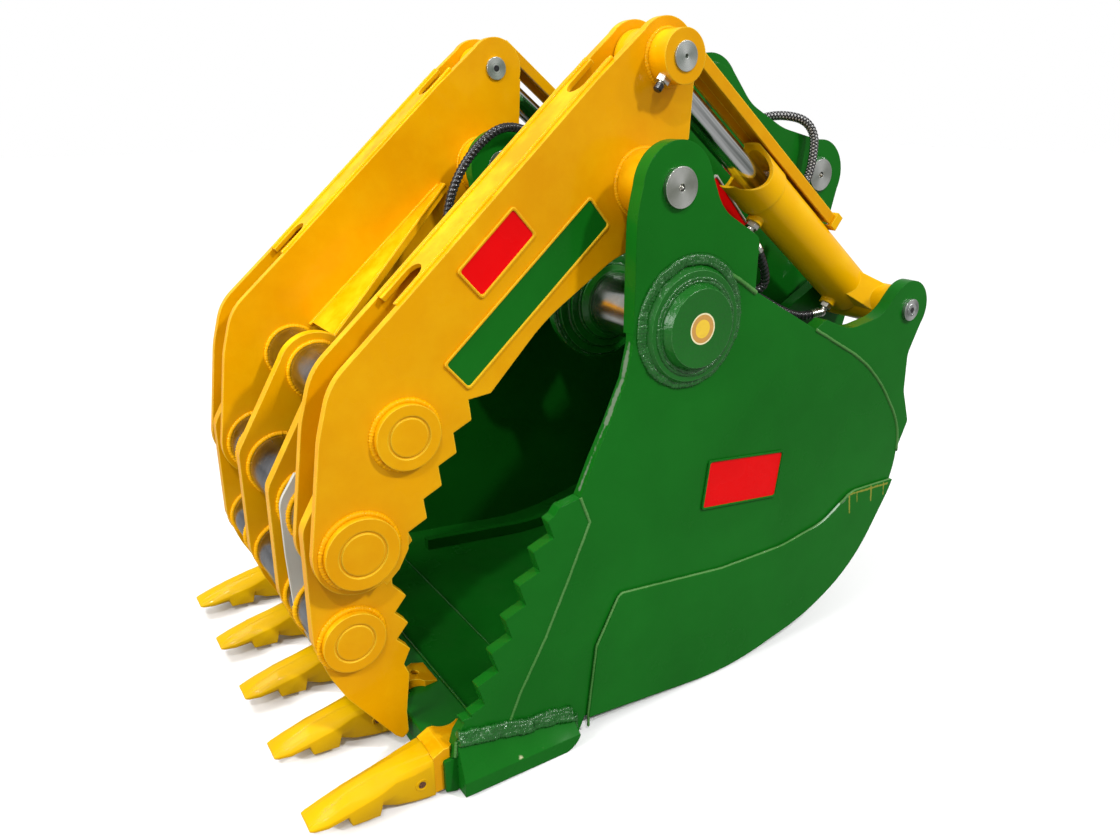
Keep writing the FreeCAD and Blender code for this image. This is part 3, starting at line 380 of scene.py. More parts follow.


# Bare steel with stains and painted reflections: "turned" gives the axis of a lathe-turned end,
# whose sweep of reflected light is painted into its colour, "streaks" the slope in degrees of a rod
# with long streaks that are painted reflection lines, "painted" the place and radius of an eye with
# a coat of paint.
def steelMaterial(name, look):
    material, tree, shader, where = newMaterial(name)
    if "turned" in look:
        x, z = look["turned"]
        marks = useGroup(tree, latheMarks, Vector=where, Centre=at(x, 0, z))
        # On a turned end the darker colour follows a painted sweep of reflected light, not stains.
        grain, stainAndReflection = marks.outputs["Ring"], marks.outputs["Sweep"]
    else:
        grain = useGroup(tree, brushed, Vector=where, Stretch=look["stretch"]).outputs["Grain"]
        spots = noise(tree, where, look.get("stainScale", 18.0), 6.0, 0.65)
        stainAndReflection = between(tree, spots, 0.35, 0.72)
    # Long dark streaks along the rod's slope: painted reflection lines on the chrome.
    if "streaks" in look:
        turn = (0.0, math.radians(look["streaks"]), 0.0)
        laid = put(tree, "ShaderNodeMapping", {"Vector": where, "Rotation": turn})
        long = put(tree, "ShaderNodeMapping", {"Vector": laid.outputs["Vector"],
                                               "Scale": (0.03, 1.0, 1.0)})
        stainAndReflection = between(tree, noise(tree, long.outputs["Vector"], 95.0, 2.0, 0.5), 0.38, 0.7)
    colour = blendColour(tree, stainAndReflection, look["colour"], look["stainAndReflection"])
    wearAndSheen = useGroup(tree, edgeWearAndSheen, Vector=where, Radius=look.get("edge", 0.002), Spread=0.9)
    colour = blendColour(tree, wearAndSheen.outputs["Mask"], colour, look["colour"])
    rough = between(tree, grain, 0.25, 0.75, look["rough"] - 0.07, look["rough"] + 0.1)
    shader.inputs["Metallic"].default_value = 1.0
    if "painted" in look:
        (x, z), radius, coat = look["painted"]
        flat = put(tree, "ShaderNodeMapping", {"Vector": where, "Scale": (1.0, 0.0, 1.0)})
        eye = put(tree, "ShaderNodeVectorMath", {0: flat.outputs["Vector"]}, operation="DISTANCE")
        eye.inputs[1].default_value = at(x, 0, z) * Vector((1, 0, 1))
        mask = between(tree, eye.outputs["Value"], radius, radius - 0.003)
        colour = blendColour(tree, mask, colour, coat)
        rough = calc(tree, "ADD", rough, calc(tree, "MULTIPLY", mask, 0.12))
        tree.links.new(calc(tree, "SUBTRACT", 1.0, mask), shader.inputs["Metallic"])
    tree.links.new(colour, shader.inputs["Base Color"])
    tree.links.new(rough, shader.inputs["Roughness"])
    bump = put(tree, "ShaderNodeBump", {"Strength": look.get("bump", 0.15), "Distance": 0.0003,
                                        "Height": grain, "Normal": wearAndSheen.outputs["Normal"]})
    tree.links.new(bump.outputs["Normal"], shader.inputs["Normal"])
    return material


steels = {
    "pinSteel": {"colour": (0.62, 0.62, 0.6, 1), "stainAndReflection": (0.42, 0.42, 0.38, 1), "rough": 0.3,
                 "stretch": (1.0, 0.3, 1.0)},
    "tubeSteel": {"colour": (0.34, 0.35, 0.37, 1), "stainAndReflection": (0.07, 0.07, 0.075, 1), "rough": 0.2,
                  "stretch": (1.0, 0.06, 1.0), "stainScale": 7.0, "bump": 0.3},
    "fittingSteel": {"colour": (0.66, 0.65, 0.6, 1), "stainAndReflection": (0.45, 0.43, 0.36, 1),
                     "rough": 0.24, "stretch": (1.0, 1.0, 1.0), "edge": 0.0008},
    "pivotPinSteel": {"colour": (0.78, 0.79, 0.74, 1), "stainAndReflection": (0.36, 0.38, 0.32, 1),
                      "rough": 0.3, "turned": pivotPin},
    "rodPinSteel": {"colour": (0.78, 0.8, 0.76, 1), "stainAndReflection": (0.36, 0.4, 0.36, 1),
                    "rough": 0.28, "turned": rodPin},
    "linkPinSteel": {"colour": (0.76, 0.78, 0.74, 1), "stainAndReflection": (0.4, 0.42, 0.38, 1),
                     "rough": 0.3, "turned": linkPin},
    "basePinSteel": {"colour": (0.76, 0.78, 0.76, 1), "stainAndReflection": (0.3, 0.32, 0.3, 1),
                     "rough": 0.3, "turned": basePin},
    # The chrome rod's stain colour is the dark of its painted reflection streaks.
    "chromeRod": {"colour": (0.7, 0.71, 0.71, 1), "stainAndReflection": (0.22, 0.25, 0.23, 1), "rough": 0.14,
                  "stretch": (0.2, 1.0, 0.2), "bump": 0.04, "streaks": -37.9,
                  "painted": (rodPin, 0.075, (0.84, 0.4, 0.0, 1))},
    "shaftSteel": {"colour": (0.62, 0.63, 0.6, 1), "stainAndReflection": (0.42, 0.44, 0.4, 1), "rough": 0.2,
                   "stretch": (1.0, 0.05, 1.0), "bump": 0.08},
}
steel = {name: steelMaterial(name, look) for name, look in steels.items()}


def hoseMaterial(name, look):
    material, tree, shader, where = newMaterial(name)
    weave = noise(tree, where, look["weaveScale"], 2.0, 0.5)
    colour = blendColour(tree, between(tree, weave, 0.35, 0.7), look["colour"], look["light"])
    tree.links.new(colour, shader.inputs["Base Color"])
    shader.inputs["Roughness"].default_value = look["rough"]
    bump = put(tree, "ShaderNodeBump", {"Strength": 0.5, "Distance": 0.0008, "Height": weave})
    tree.links.new(bump.outputs["Normal"], shader.inputs["Normal"])
    return material


hoseRubber = hoseMaterial("hoseRubber", {"weaveScale": 380.0, "colour": (0.012, 0.012, 0.013, 1),
                                         "light": (0.05, 0.05, 0.05, 1), "rough": 0.42})
# Black glossy plastic for the hose guards and bolt ends, also the dark of the socket discs that
# paint the shade in holes.
blackPlasticAndHoleShade = hoseMaterial("blackPlasticAndHoleShade", {"weaveScale": 120.0, "colour": (0.008, 0.008, 0.008, 1),
                                           "light": (0.02, 0.02, 0.022, 1), "rough": 0.24})
rustBrown = hoseMaterial("rustBrown", {"weaveScale": 260.0, "colour": (0.035, 0.012, 0.006, 1),
                                       "light": (0.2, 0.07, 0.02, 1), "rough": 0.85})
palePlastic = hoseMaterial("palePlastic", {"weaveScale": 200.0, "colour": (0.4, 0.4, 0.4, 1),
                                           "light": (0.62, 0.62, 0.6, 1), "rough": 0.35})

slotMaterials = {
    "green_paint": paint["greenPaint"], "yellow_paint": paint["yellowPaint"],
    "pin_steel": steel["pinSteel"], "tube_steel": steel["tubeSteel"],
    "fitting_steel": steel["fittingSteel"], "chrome": steel["chromeRod"], "rubber": hoseRubber,
    "pale_paint": paint["doublerPaint"],
}
ownMaterials = {
    "pivot_pins": steel["pivotPinSteel"], "rod_pins": steel["rodPinSteel"],
    "link_pin": steel["linkPinSteel"], "base_pins": steel["basePinSteel"],
    "cross_shaft": steel["shaftSteel"], "side_plate_near": paint["sidePaint"],
    "side_plate_far": paint["sidePaint"], "shaft_bosses": paint["bossPaint"],
    "shaft_collars": paint["bossPaint"], "corner_pads": paint["padPaint"],
    "side_wear_plates": paint["wearPaint"], "tooth_pins": rustBrown,
    "barrel_near": paint["barrelPaint"], "barrel_far": paint["barrelPaint"],
}
for part in frame["record"]["subparts"]:
    materials = nodes[part["node"]].data.materials
    materials.clear()
    materials.append(ownMaterials.get(part["node"], slotMaterials[part["material_slot"]]))
print("paint and steel are on", len(nodes), "nodes")


# Hoses: the points of each route are those of the CAD hose, and the lengths are in metres.
hoses = {
    "diameter": 0.024,
    "routes": {
        "hose_rod_port_near": [
            (1443, -398, 1216), (1474, -398, 1183), (1524, -388, 1088), (1484, -368, 1062),
            (1424, -334, 1062), (1376, -282, 1100), (1341, -273, 1127),
        ],
        "hose_base_port_near": [
            (1725, -390, 971), (1681, -381, 966), (1608, -350, 1000), (1566, -326, 1032),
            (1517, -277, 1058), (1475, -271, 1072),
        ],
        "hose_link": [
            (1748, -269, 1285), (1764, -273, 1327), (1797, -272, 1385), (1806, -270, 1440),
            (1810, -264, 1492), (1784, -246, 1534), (1732, -212, 1548), (1676, -178, 1543),
            (1626, -166, 1516), (1608, -165, 1468), (1604, -165, 1423),
        ],
        "hose_front": [
            (1075, 165, 1493), (1034, 165, 1512), (950, 153, 1518), (872, 150, 1468),
            (812, 150, 1398), (778, 152, 1325), (764, 156, 1250), (786, 160, 1186),
            (886, 165, 1165), (929, 165, 1179),
        ],
    },
    "lengths": {"hose_rod_port_near": 0.386, "hose_base_port_near": 0.305, "hose_link": 0.548,
                "hose_front": 0.675},
}


def hoseLine(name, points, radius):
    line = bpy.data.curves.new(name, "CURVE")
    line.dimensions = "3D"
    line.resolution_u = 10
    line.bevel_depth = radius
    line.bevel_resolution = 6
    line.use_fill_caps = radius > 0
    run = line.splines.new("NURBS")
    run.points.add(len(points) - 1)
    for place, point in zip(run.points, points):
        place.co = (*point, 1)
    run.order_u = 3
    run.use_endpoint_u = True
    return line


def farSide(route):
    return [(x, -y, z) for x, y, z in route]


routes = dict(hoses["routes"])
lengths = dict(hoses["lengths"])
for name in ("hose_rod_port", "hose_base_port"):
    routes[name + "_far"] = farSide(routes[name + "_near"])
    lengths[name + "_far"] = lengths[name + "_near"]
routePoints = {name: [at(*point) for point in route] for name, route in routes.items()}
for name, points in routePoints.items():
    line = hoseLine(name + "_line", points, hoses["diameter"] / 2)
    line.materials.append(palePlastic if name == "hose_link" else hoseRubber)
    obj = bpy.data.objects.new(name + "_line", line)
    bpy.context.scene.collection.objects.link(obj)
    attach(obj, "bucket")
    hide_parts(name)
print("hoses are laid:", len(routes))


# Geometry node trees.
fullTurn = 6.2832


def geometryTree(name, inputs):
    tree = bpy.data.node_groups.new(name, "GeometryNodeTree")
    tree.interface.new_socket("Geometry", in_out="INPUT", socket_type="NodeSocketGeometry")
    tree.interface.new_socket("Geometry", in_out="OUTPUT", socket_type="NodeSocketGeometry")
    kinds = {"f": "NodeSocketFloat", "i": "NodeSocketInt", "m": "NodeSocketMaterial"}
    for label, kind, value in inputs:
        socket = tree.interface.new_socket(label, in_out="INPUT", socket_type=kinds[kind])
        if value is not None:
            socket.default_value = value
    return tree, tree.nodes.new("NodeGroupInput"), tree.nodes.new("NodeGroupOutput")


def finishTree(tree, given, out, geometry):
    smooth = put(tree, "GeometryNodeSetShadeSmooth", {"Geometry": geometry})
    real = put(tree, "GeometryNodeRealizeInstances", {"Geometry": smooth.outputs[0]})
    dressed = put(tree, "GeometryNodeSetMaterial", {"Geometry": real.outputs[0],
                                                    "Material": given.outputs["Material"]})
    tree.links.new(dressed.outputs[0], out.inputs["Geometry"])
    return tree


# A weld run: a half-buried bead along each path, swelling and dipping once for each ripple.
def makeBeadTree():
    tree, given, out = geometryTree("weldBead", [
        ("Radius", "f", 0.005), ("Pitch", "f", 0.006), ("Ripple", "f", 0.22),
        ("Wander", "f", 0.0008), ("Step", "f", 0.002), ("Sides", "i", 8), ("Material", "m", None),
    ])
    curve = put(tree, "GeometryNodeMeshToCurve", {"Mesh": given.outputs["Geometry"]})
    even = put(tree, "GeometryNodeResampleCurve", {"Curve": curve.outputs[0],
                                                   "Length": given.outputs["Step"]}, mode="LENGTH")
    run = put(tree, "GeometryNodeSplineParameter").outputs["Length"]
    place = put(tree, "GeometryNodeInputPosition").outputs[0]
    jitter = put(tree, "ShaderNodeTexNoise", {"Vector": place, "Scale": 90.0, "Detail": 2.0})
    phase = calc(tree, "DIVIDE", run, given.outputs["Pitch"])
    phase = calc(tree, "ADD", phase, calc(tree, "MULTIPLY", jitter.outputs["Fac"], 1.6))
    wave = calc(tree, "MULTIPLY", calc(tree, "SINE", calc(tree, "MULTIPLY", phase, fullTurn)),
                given.outputs["Ripple"])
    swell = put(tree, "ShaderNodeTexNoise", {"Vector": place, "Scale": 30.0, "Detail": 3.0})
    body = calc(tree, "ADD", calc(tree, "MULTIPLY", swell.outputs["Fac"], 0.5), 0.75)
    radius = calc(tree, "MULTIPLY", calc(tree, "ADD", wave, body), given.outputs["Radius"])
    moved = put(tree, "ShaderNodeVectorMath", operation="SUBTRACT")
    tree.links.new(swell.outputs["Color"], moved.inputs[0])
    moved.inputs[1].default_value = (0.5, 0.5, 0.5)
    shift = put(tree, "ShaderNodeVectorMath", operation="SCALE")
    tree.links.new(moved.outputs[0], shift.inputs[0])
    tree.links.new(calc(tree, "MULTIPLY", given.outputs["Wander"], 4.0), shift.inputs["Scale"])
    drift = put(tree, "GeometryNodeSetPosition", {"Geometry": even.outputs[0],
                                                  "Offset": shift.outputs[0]})
    profile = put(tree, "GeometryNodeCurvePrimitiveCircle", {"Resolution": given.outputs["Sides"],
                                                             "Radius": 1.0})
    swept = put(tree, "GeometryNodeCurveToMesh", {"Curve": drift.outputs[0],
                                                  "Profile Curve": profile.outputs[0],
                                                  "Scale": radius, "Fill Caps": True})
    return finishTree(tree, given, out, swept.outputs[0])


beadTree = makeBeadTree()


def pathMesh(name, paths):
    mesh = bpy.data.meshes.new(name)
    points, edges = [], []
    for path in paths:
        first = len(points)
        points += [tuple(point) for point in path]
        edges += [(first + i, first + i + 1) for i in range(len(path) - 1)]
    mesh.from_pydata(points, edges, [])
    return mesh


def applyTree(source, tree, values, name, body):
    start = bpy.data.objects.new(name + "_start", source)
    bpy.context.scene.collection.objects.link(start)
    modifier = start.modifiers.new("grow", "NODES")
    modifier.node_group = tree
    for item in tree.interface.items_tree:
        if item.item_type == "SOCKET" and item.in_out == "INPUT" and item.name in values:
            modifier[item.identifier] = values[item.name]
    ready = start.evaluated_get(bpy.context.evaluated_depsgraph_get())
    mesh = bpy.data.meshes.new_from_object(ready)
    bpy.data.objects.remove(start)
    mesh.name = name
    shape = bmesh.new()
    shape.from_mesh(mesh)
    bmesh.ops.recalc_face_normals(shape, faces=shape.faces)
    shape.to_mesh(mesh)
    shape.free()
    obj = bpy.data.objects.new(name, mesh)
    bpy.context.scene.collection.objects.link(obj)
    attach(obj, body)
    return obj


# Ridges pressed into a ferrule: rings set along each straight line of the source mesh.
def makeCrimpTree():
    tree, given, out = geometryTree("crimps", [
        ("Radius", "f", 0.0142), ("Wire", "f", 0.0012), ("Count", "i", 6), ("Material", "m", None),
    ])
    curve = put(tree, "GeometryNodeMeshToCurve", {"Mesh": given.outputs["Geometry"]})
    even = put(tree, "GeometryNodeResampleCurve", {"Curve": curve.outputs[0],
                                                   "Count": given.outputs["Count"]}, mode="COUNT")
    tangent = put(tree, "GeometryNodeInputTangent").outputs[0]
    turn = put(tree, "FunctionNodeAlignRotationToVector", {"Vector": tangent}, axis="Z")
    ring = put(tree, "GeometryNodeMeshCircle", {"Vertices": 28, "Radius": given.outputs["Radius"]})
    rings = put(tree, "GeometryNodeInstanceOnPoints", {
        "Points": even.outputs[0], "Instance": ring.outputs[0], "Rotation": turn.outputs[0]})
    real = put(tree, "GeometryNodeRealizeInstances", {"Geometry": rings.outputs[0]})
    hoops = put(tree, "GeometryNodeMeshToCurve", {"Mesh": real.outputs[0]})
    wire = put(tree, "GeometryNodeCurvePrimitiveCircle", {"Resolution": 6,
                                                          "Radius": given.outputs["Wire"]})
    swept = put(tree, "GeometryNodeCurveToMesh", {"Curve": hoops.outputs[0],
                                                  "Profile Curve": wire.outputs[0]})
    return finishTree(tree, given, out, swept.outputs[0])


# Spiral guard: a sleeve whose round ribs wind along the hose like the strands of a rope.
def makeGuardTree():
    tree, given, out = geometryTree("spiralGuard", [
        ("Radius", "f", 0.0121), ("Rib", "f", 0.0018), ("Starts", "f", 2.0), ("Pitch", "f", 0.028),
        ("Step", "f", 0.0018), ("Material", "m", None),
    ])
    curve = put(tree, "GeometryNodeMeshToCurve", {"Mesh": given.outputs["Geometry"]})
    even = put(tree, "GeometryNodeResampleCurve", {"Curve": curve.outputs[0],
                                                   "Length": given.outputs["Step"]}, mode="LENGTH")
    run = put(tree, "GeometryNodeSplineParameter").outputs["Length"]
    turns = calc(tree, "MULTIPLY", calc(tree, "DIVIDE", run, given.outputs["Pitch"]), fullTurn)
    wound = put(tree, "GeometryNodeSetCurveTilt", {"Curve": even.outputs[0], "Tilt": turns})
    ring = put(tree, "GeometryNodeCurvePrimitiveCircle", {"Resolution": 30,
                                                          "Radius": given.outputs["Radius"]})
    place = put(tree, "GeometryNodeInputPosition").outputs[0]
    split = put(tree, "ShaderNodeSeparateXYZ", {"Vector": place})
    angle = calc(tree, "ARCTAN2", split.outputs["Y"], split.outputs["X"])
    wave = calc(tree, "COSINE", calc(tree, "MULTIPLY", angle, given.outputs["Starts"]))
    share = calc(tree, "DIVIDE", given.outputs["Rib"], given.outputs["Radius"])
    grown = calc(tree, "MULTIPLY", calc(tree, "ADD", calc(tree, "MULTIPLY", wave, 0.5), 0.5), share)
    push = put(tree, "ShaderNodeVectorMath", {"Scale": grown}, operation="SCALE")
    tree.links.new(place, push.inputs[0])
    ribbed = put(tree, "GeometryNodeSetPosition", {"Geometry": ring.outputs[0],
                                                   "Offset": push.outputs[0]})
    swept = put(tree, "GeometryNodeCurveToMesh", {"Curve": wound.outputs[0],
                                                  "Profile Curve": ribbed.outputs[0],
                                                  "Fill Caps": True})
    return finishTree(tree, given, out, swept.outputs[0])


crimpTree = makeCrimpTree()
guardTree = makeGuardTree()


def arc(x, z, radius, y, start, end, step=4):
    count = max(4, int(abs(end - start) / step))
    turns = [math.radians(start + (end - start) * i / count) for i in range(count + 1)]
    return [at(x + radius * math.cos(turn), y, z + radius * math.sin(turn)) for turn in turns]


def circle(x, z, radius, y):
    return arc(x, z, radius, y, 0, 366)


# Corners given as (x, z) or (x, z, radius), in the plane of one y.
def bent(corners, y):
    path = []
    for i, corner in enumerate(corners):
        here = Vector(corner[:2])
        if len(corner) == 2 or i in (0, len(corners) - 1):
            path.append(at(here[0], y, here[1]))
            continue
        back = (Vector(corners[i - 1][:2]) - here).normalized()
        on = (Vector(corners[i + 1][:2]) - here).normalized()
        half = back.angle(on) / 2
        reach = corner[2] / math.tan(half)
        middle = here + (back + on).normalized() * (corner[2] / math.sin(half))
        a = here + back * reach - middle
        b = here + on * reach - middle
        for k in range(9):
            spot = a.lerp(b, k / 8).normalized() * corner[2] + middle
            path.append(at(spot[0], y, spot[1]))
    return path


def mirrorPaths(paths):
    return paths + [[Vector((p[0], -p[1], p[2])) for p in path] for path in paths]


wrapperLine = [
    (452, 84), (1245, -3, 870), (1591, 70, 660), (1789, 189, 460),
    (1951, 457, 285), (1951, 620, 240), (1782, 846, 650), (1249, 1136),
]
cutterSeam = [(480, 5), (502, 130), (534, 205), (614, 347), (685, 497), (743, 627), (715, 699)]
tubes = {"upper": (338, 899, 76), "middle": (212, 650, 86), "lower": (191, 398, 76)}
side = -600
armOuter, armInner, armPlate = -467, -330, 20
toothPitch = 272


# Name, paths, bead radius in millimetres, finish, body and wander in millimetres.
def weldRuns():
    runs = []
    bossRings = (145, 152, 158)
    capRings = (110, 118)
    paths = [circle(shaft[0] - 4, shaft[1] + 9, radius, side) for radius in bossRings]
    runs.append(("bossWeld", mirrorPaths(paths), 8.0, "weldGreen", "bucket", 2.4))
    paths = [circle(*shaft, radius, side - 15) for radius in capRings]
    runs.append(("bossCapWeld", mirrorPaths(paths), 6.0, "weldGreen", "bucket", 1.2))

    roofSeam = bent([(1064, 1241), (1112, 1212), (1193, 1169), (1253, 1131)], side)
    runs.append(("roofSeamWeld", mirrorPaths([roofSeam]), 6.0, "weldOlive", "bucket", 0.8))
    heelSeam = bent([(1500, 999)] + wrapperLine[-2:4:-1] + [(1951, 575)], side)
    runs.append(("heelSeamWeld", mirrorPaths([heelSeam]), 4.5, "weldOlive", "bucket", 0.8))
    thin = [
        bent(cutterSeam, side),
        bent([(743, 20), (743, 60), (767, 264), (838, 396, 20), (1199, 353), (1442, 350, 300),
              (1615, 377, 200), (1742, 450, 80), (1932, 444)], side - 6),
    ]
    runs.append(("plateWeld", mirrorPaths(thin), 3.6, "weldOlive", "bucket", 0.5))
    # A pale bead along the wear-plate seam: painted glints of light on the weld.
    bright = bent([(1540, 362), (1615, 377, 200), (1690, 422)], side - 7)
    runs.append(("brightSeamWeld", mirrorPaths([bright]), 3.4, "weldPaintedGlint", "bucket", 0.5))
    padLine = [(362, 152), (450, 131), (560, 102), (640, 92), (690, 78)]
    pads = [bent([(x, z + lift) for x, z in padLine], side - out)
            for lift, out in ((-4, 9), (4, 7), (12, 5), (20, 3))]
    pads.append([at(697, side - 3, 78), at(699, side - 4, 40), at(697, side - 4, 12)])
    runs.append(("padWeld", mirrorPaths(pads), 9.5, "weldGreen", "bucket", 4.0))
    upright = [bent([(352 + k * 7, 108 + k * 3), (357 + k * 8, 150 + k * 4)], side - 2)
               for k in range(4)]
    runs.append(("lipEndWeld", mirrorPaths(upright), 4.0, "weldOlive", "bucket", 0.5))

    roof = [p for p in bent(wrapperLine[::-1], -235) if at(1252, 0, 0)[0] < p[0]]
    roof = [p for p in roof if p[2] > at(0, 0, 700)[2]]
    feet = []
    for y in (-236, -194, -286, -324):
        start = 1255 if y in (-236, -194) else 1645
        feet.append([Vector((p[0], y / 1000, p[2])) for p in roof if p[0] > at(start, 0, 0)[0]])
    runs.append(("hangerWeld", mirrorPaths(feet), 6.5, "weldGreen", "bucket", 0.8))
    rings = [circle(*shaft, 151, -237), circle(*shaft, 158, -236), circle(*shaft, 125, -254),
             circle(*shaft, 101, -270), circle(*armPin, 79, -236), circle(*armPin, 79, -194),
             circle(*linkPin, 79, -194), circle(*linkPin, 50, -236)]
    runs.append(("ringWeld", mirrorPaths(rings), 6.0, "weldGreen", "bucket", 0.8))
    inner = [circle(*shaft, radius, y) for radius, y in ((82, -568), (89, -569), (85, -563))]
    runs.append(("shaftWeld", mirrorPaths(inner), 6.5, "doublerPaint", "bucket", 2.5))
    inside = [[at(455, -560, 112), at(455, 560, 112)], [at(655, -560, 90), at(655, 560, 90)]]
    runs.append(("floorWeld", inside, 3.5, "weldGreen", "bucket", 0.8))

    arms, rings = [], []
    angle = math.atan2(1630 - 1199, 845 - 362)
    along = Vector((math.cos(angle), 0, math.sin(angle)))
    for y in (armOuter + armPlate, armInner - armPlate):
        start = at(345, y, 1184)
        arms.append([start, start + along * 0.74])
    arms.append([at(395, armInner, 973), at(829, armInner, 1349)])
    arms.append([at(402, -136 - 14, 976), at(838, -300, 1352)])
    runs.append(("armWeld", mirrorPaths(arms), 6.0, "weldYellow", "claw", 0.8))
    for name, (x, z, radius) in tubes.items():
        outer = armOuter if name != "lower" else -415
        rings.append(circle(x, z, radius + 3, outer))
        faces = [-385, -151, -121] + ([armInner] if name != "lower" else [])
        rings += [circle(x, z, radius + 1, y) for y in faces]
    rings += [circle(212, 650, 87, -232), circle(191, 398, 77, -232)]
    runs.append(("tubeWeld", mirrorPaths(rings), 7.5, "weldYellow", "claw", 0.6))
    hubs = [circle(*pivotPin, 79, armOuter), circle(*pivotPin, 79, armInner),
            circle(*rodPin, 61, armOuter)]
    runs.append(("hubWeld", mirrorPaths(hubs), 6.0, "weldYellow", "claw", 0.6))
    return runs


beads = {"pitch": 0.0065, "ripple": 0.16, "step": 0.0022}
for name, paths, radius, coat, body, wander in weldRuns():
    bead = applyTree(pathMesh(name, paths), beadTree,
                     {"Radius": radius / 1000, "Pitch": beads["pitch"], "Ripple": beads["ripple"],
                      "Wander": wander / 1000, "Step": beads["step"], "Material": paint[coat]},
                     name, body)
print("welds are run")


# Round pieces turned from a profile of (radius, height) pairs, standing at a place, along out.
def turned(shape, profile, place, out, sides):
    turn = Vector(out).to_track_quat("Z", "Y").to_matrix()
    rings = []
    for radius, height in profile:
        ring = []
        for k in range(sides):
            angle = 2 * math.pi * k / sides
            point = Vector((radius * math.cos(angle), radius * math.sin(angle), height)) / 1000
            ring.append(shape.verts.new(Vector(place) + turn @ point))
        rings.append(ring)
    for a, b in zip(rings, rings[1:]):
        for k in range(sides):
            shape.faces.new((a[k - 1], a[k], b[k], b[k - 1]))
    shape.faces.new(rings[0])
    shape.faces.new(rings[-1])


def turnedPiece(name, items, material, body):
    shape = bmesh.new()
    for item in items:
        turned(shape, *item)
    bmesh.ops.recalc_face_normals(shape, faces=shape.faces)
    mesh = bpy.data.meshes.new(name)
    shape.to_mesh(mesh)
    shape.free()
    obj = keep(mesh, name, body, material)


nipple = {
    "hexagon": [(6.4, 0), (6.4, 5.5), (5.4, 6.2)],
    "head": [(3.2, 6), (3.0, 8.5), (2.0, 9.0), (3.2, 10.5), (3.2, 12), (1.6, 13.6)],
    "places": [(pivotPin, -601), (pivotPin, 601), (linkPin, -237)],
}
hexagons, heads = [], []
for (x, z), y in nipple["places"]:
    out = (0, math.copysign(1, y), 0)
    hexagons.append((nipple["hexagon"], at(x, y, z), out, 6))
    heads.append((nipple["head"], at(x, y, z), out, 16))
turnedPiece("greaseNippleNuts", hexagons, steel["fittingSteel"], "bucket")
turnedPiece("greaseNippleHeads", heads, steel["fittingSteel"], "bucket")

basePinEnd = 610
collarRing = [(19, -0.5), (19, 1.5), (18, 2.5), (13, 2.5), (12, 1.4), (9.5, 1.2)]
# A thin dark hexagon in each base pin end is the painted shade of a hex socket.
socketHoleShade = [(8.9, 1.0), (8.9, 1.6), (7.6, 1.5), (1, 1.4)]
for name, profile, material, slot in (("basePinRings", collarRing, steel["chromeRod"], "chrome"),
                                      ("basePinHoleShades", socketHoleShade, blackPlasticAndHoleShade, "rubber")):
    items = [(profile, at(basePin[0], sign * basePinEnd, basePin[1]), (0, sign, 0),
              28 if slot == "chrome" else 6) for sign in (-1, 1)]
    turnedPiece(name, items, material, "bucket")

bolt = {"angle": 232, "start": 75, "across": 502.2,
        "cap": [(9.4, 0), (10.4, 2), (10.4, 14), (8, 17)]}
tilt = math.radians(bolt["angle"])
boltOut = Vector((math.cos(tilt), 0, math.sin(tilt)))
boltStarts = [at(rodPin[0], sign * bolt["across"], rodPin[1]) + boltOut * bolt["start"] / 1000
              for sign in (-1, 1)]
turnedPiece("lockBoltEnds", [(bolt["cap"], start, boltOut, 20) for start in boltStarts],
            blackPlasticAndHoleShade, "claw")
strapRust = [(10.9, 0), (10.9, 6), (7, 8), (2, 7)]
turnedPiece("strapRust", [
    (strapRust, at(398.2, place * toothPitch, 108), (0, 0, 1), 20) for place in range(-2, 3)],
    rustBrown, "bucket")
pinBoss = [(17, -3), (17, 0.6), (15.5, 1.6), (13, 1.6), (11.5, 0.2), (1, 0.1)]
pinRust = [(9, -1), (9, 1.2), (7.5, 2.0), (1, 2.1)]
for name, profile, material in (("toothPinEyes", pinBoss, paint["toothPaint"]),
                                ("toothPinEnds", pinRust, rustBrown)):
    items = [(profile, at(267, place * toothPitch + sign * 49.5, 62), (0, sign, 0), 24)
             for place in range(-2, 3) for sign in (-1, 1)]
    turnedPiece(name, items, material, "bucket")
# A thin dark disc on each rod pin end is the painted shade of a socket hole.
rodPinHoleShade = [(9, 0.1), (9, 0.5), (1, 0.5)]
turnedPiece("rodPinHoleShades", [
    (rodPinHoleShade, at(rodPin[0], sign * 324, rodPin[1]), (0, -sign, 0), 28) for sign in (1, -1)],
    blackPlasticAndHoleShade, "claw")
sleeve = [(12.4, 0), (14.4, 1), (14.4, 8), (13.6, 9), (14.4, 10.5), (13.6, 12), (14.4, 13.5),
          (13.6, 15), (14.4, 16.5), (13.6, 18), (14.4, 19.5), (14.4, 33), (13.4, 35), (12.3, 36)]
turnedPiece("hoseSleeves", [
    (sleeve, at(1444.5, sign * 398, 1214.4), (0.685, 0, -0.729), 24) for sign in (-1, 1)],
    steel["fittingSteel"], "bucket")
print("turned pieces are on")


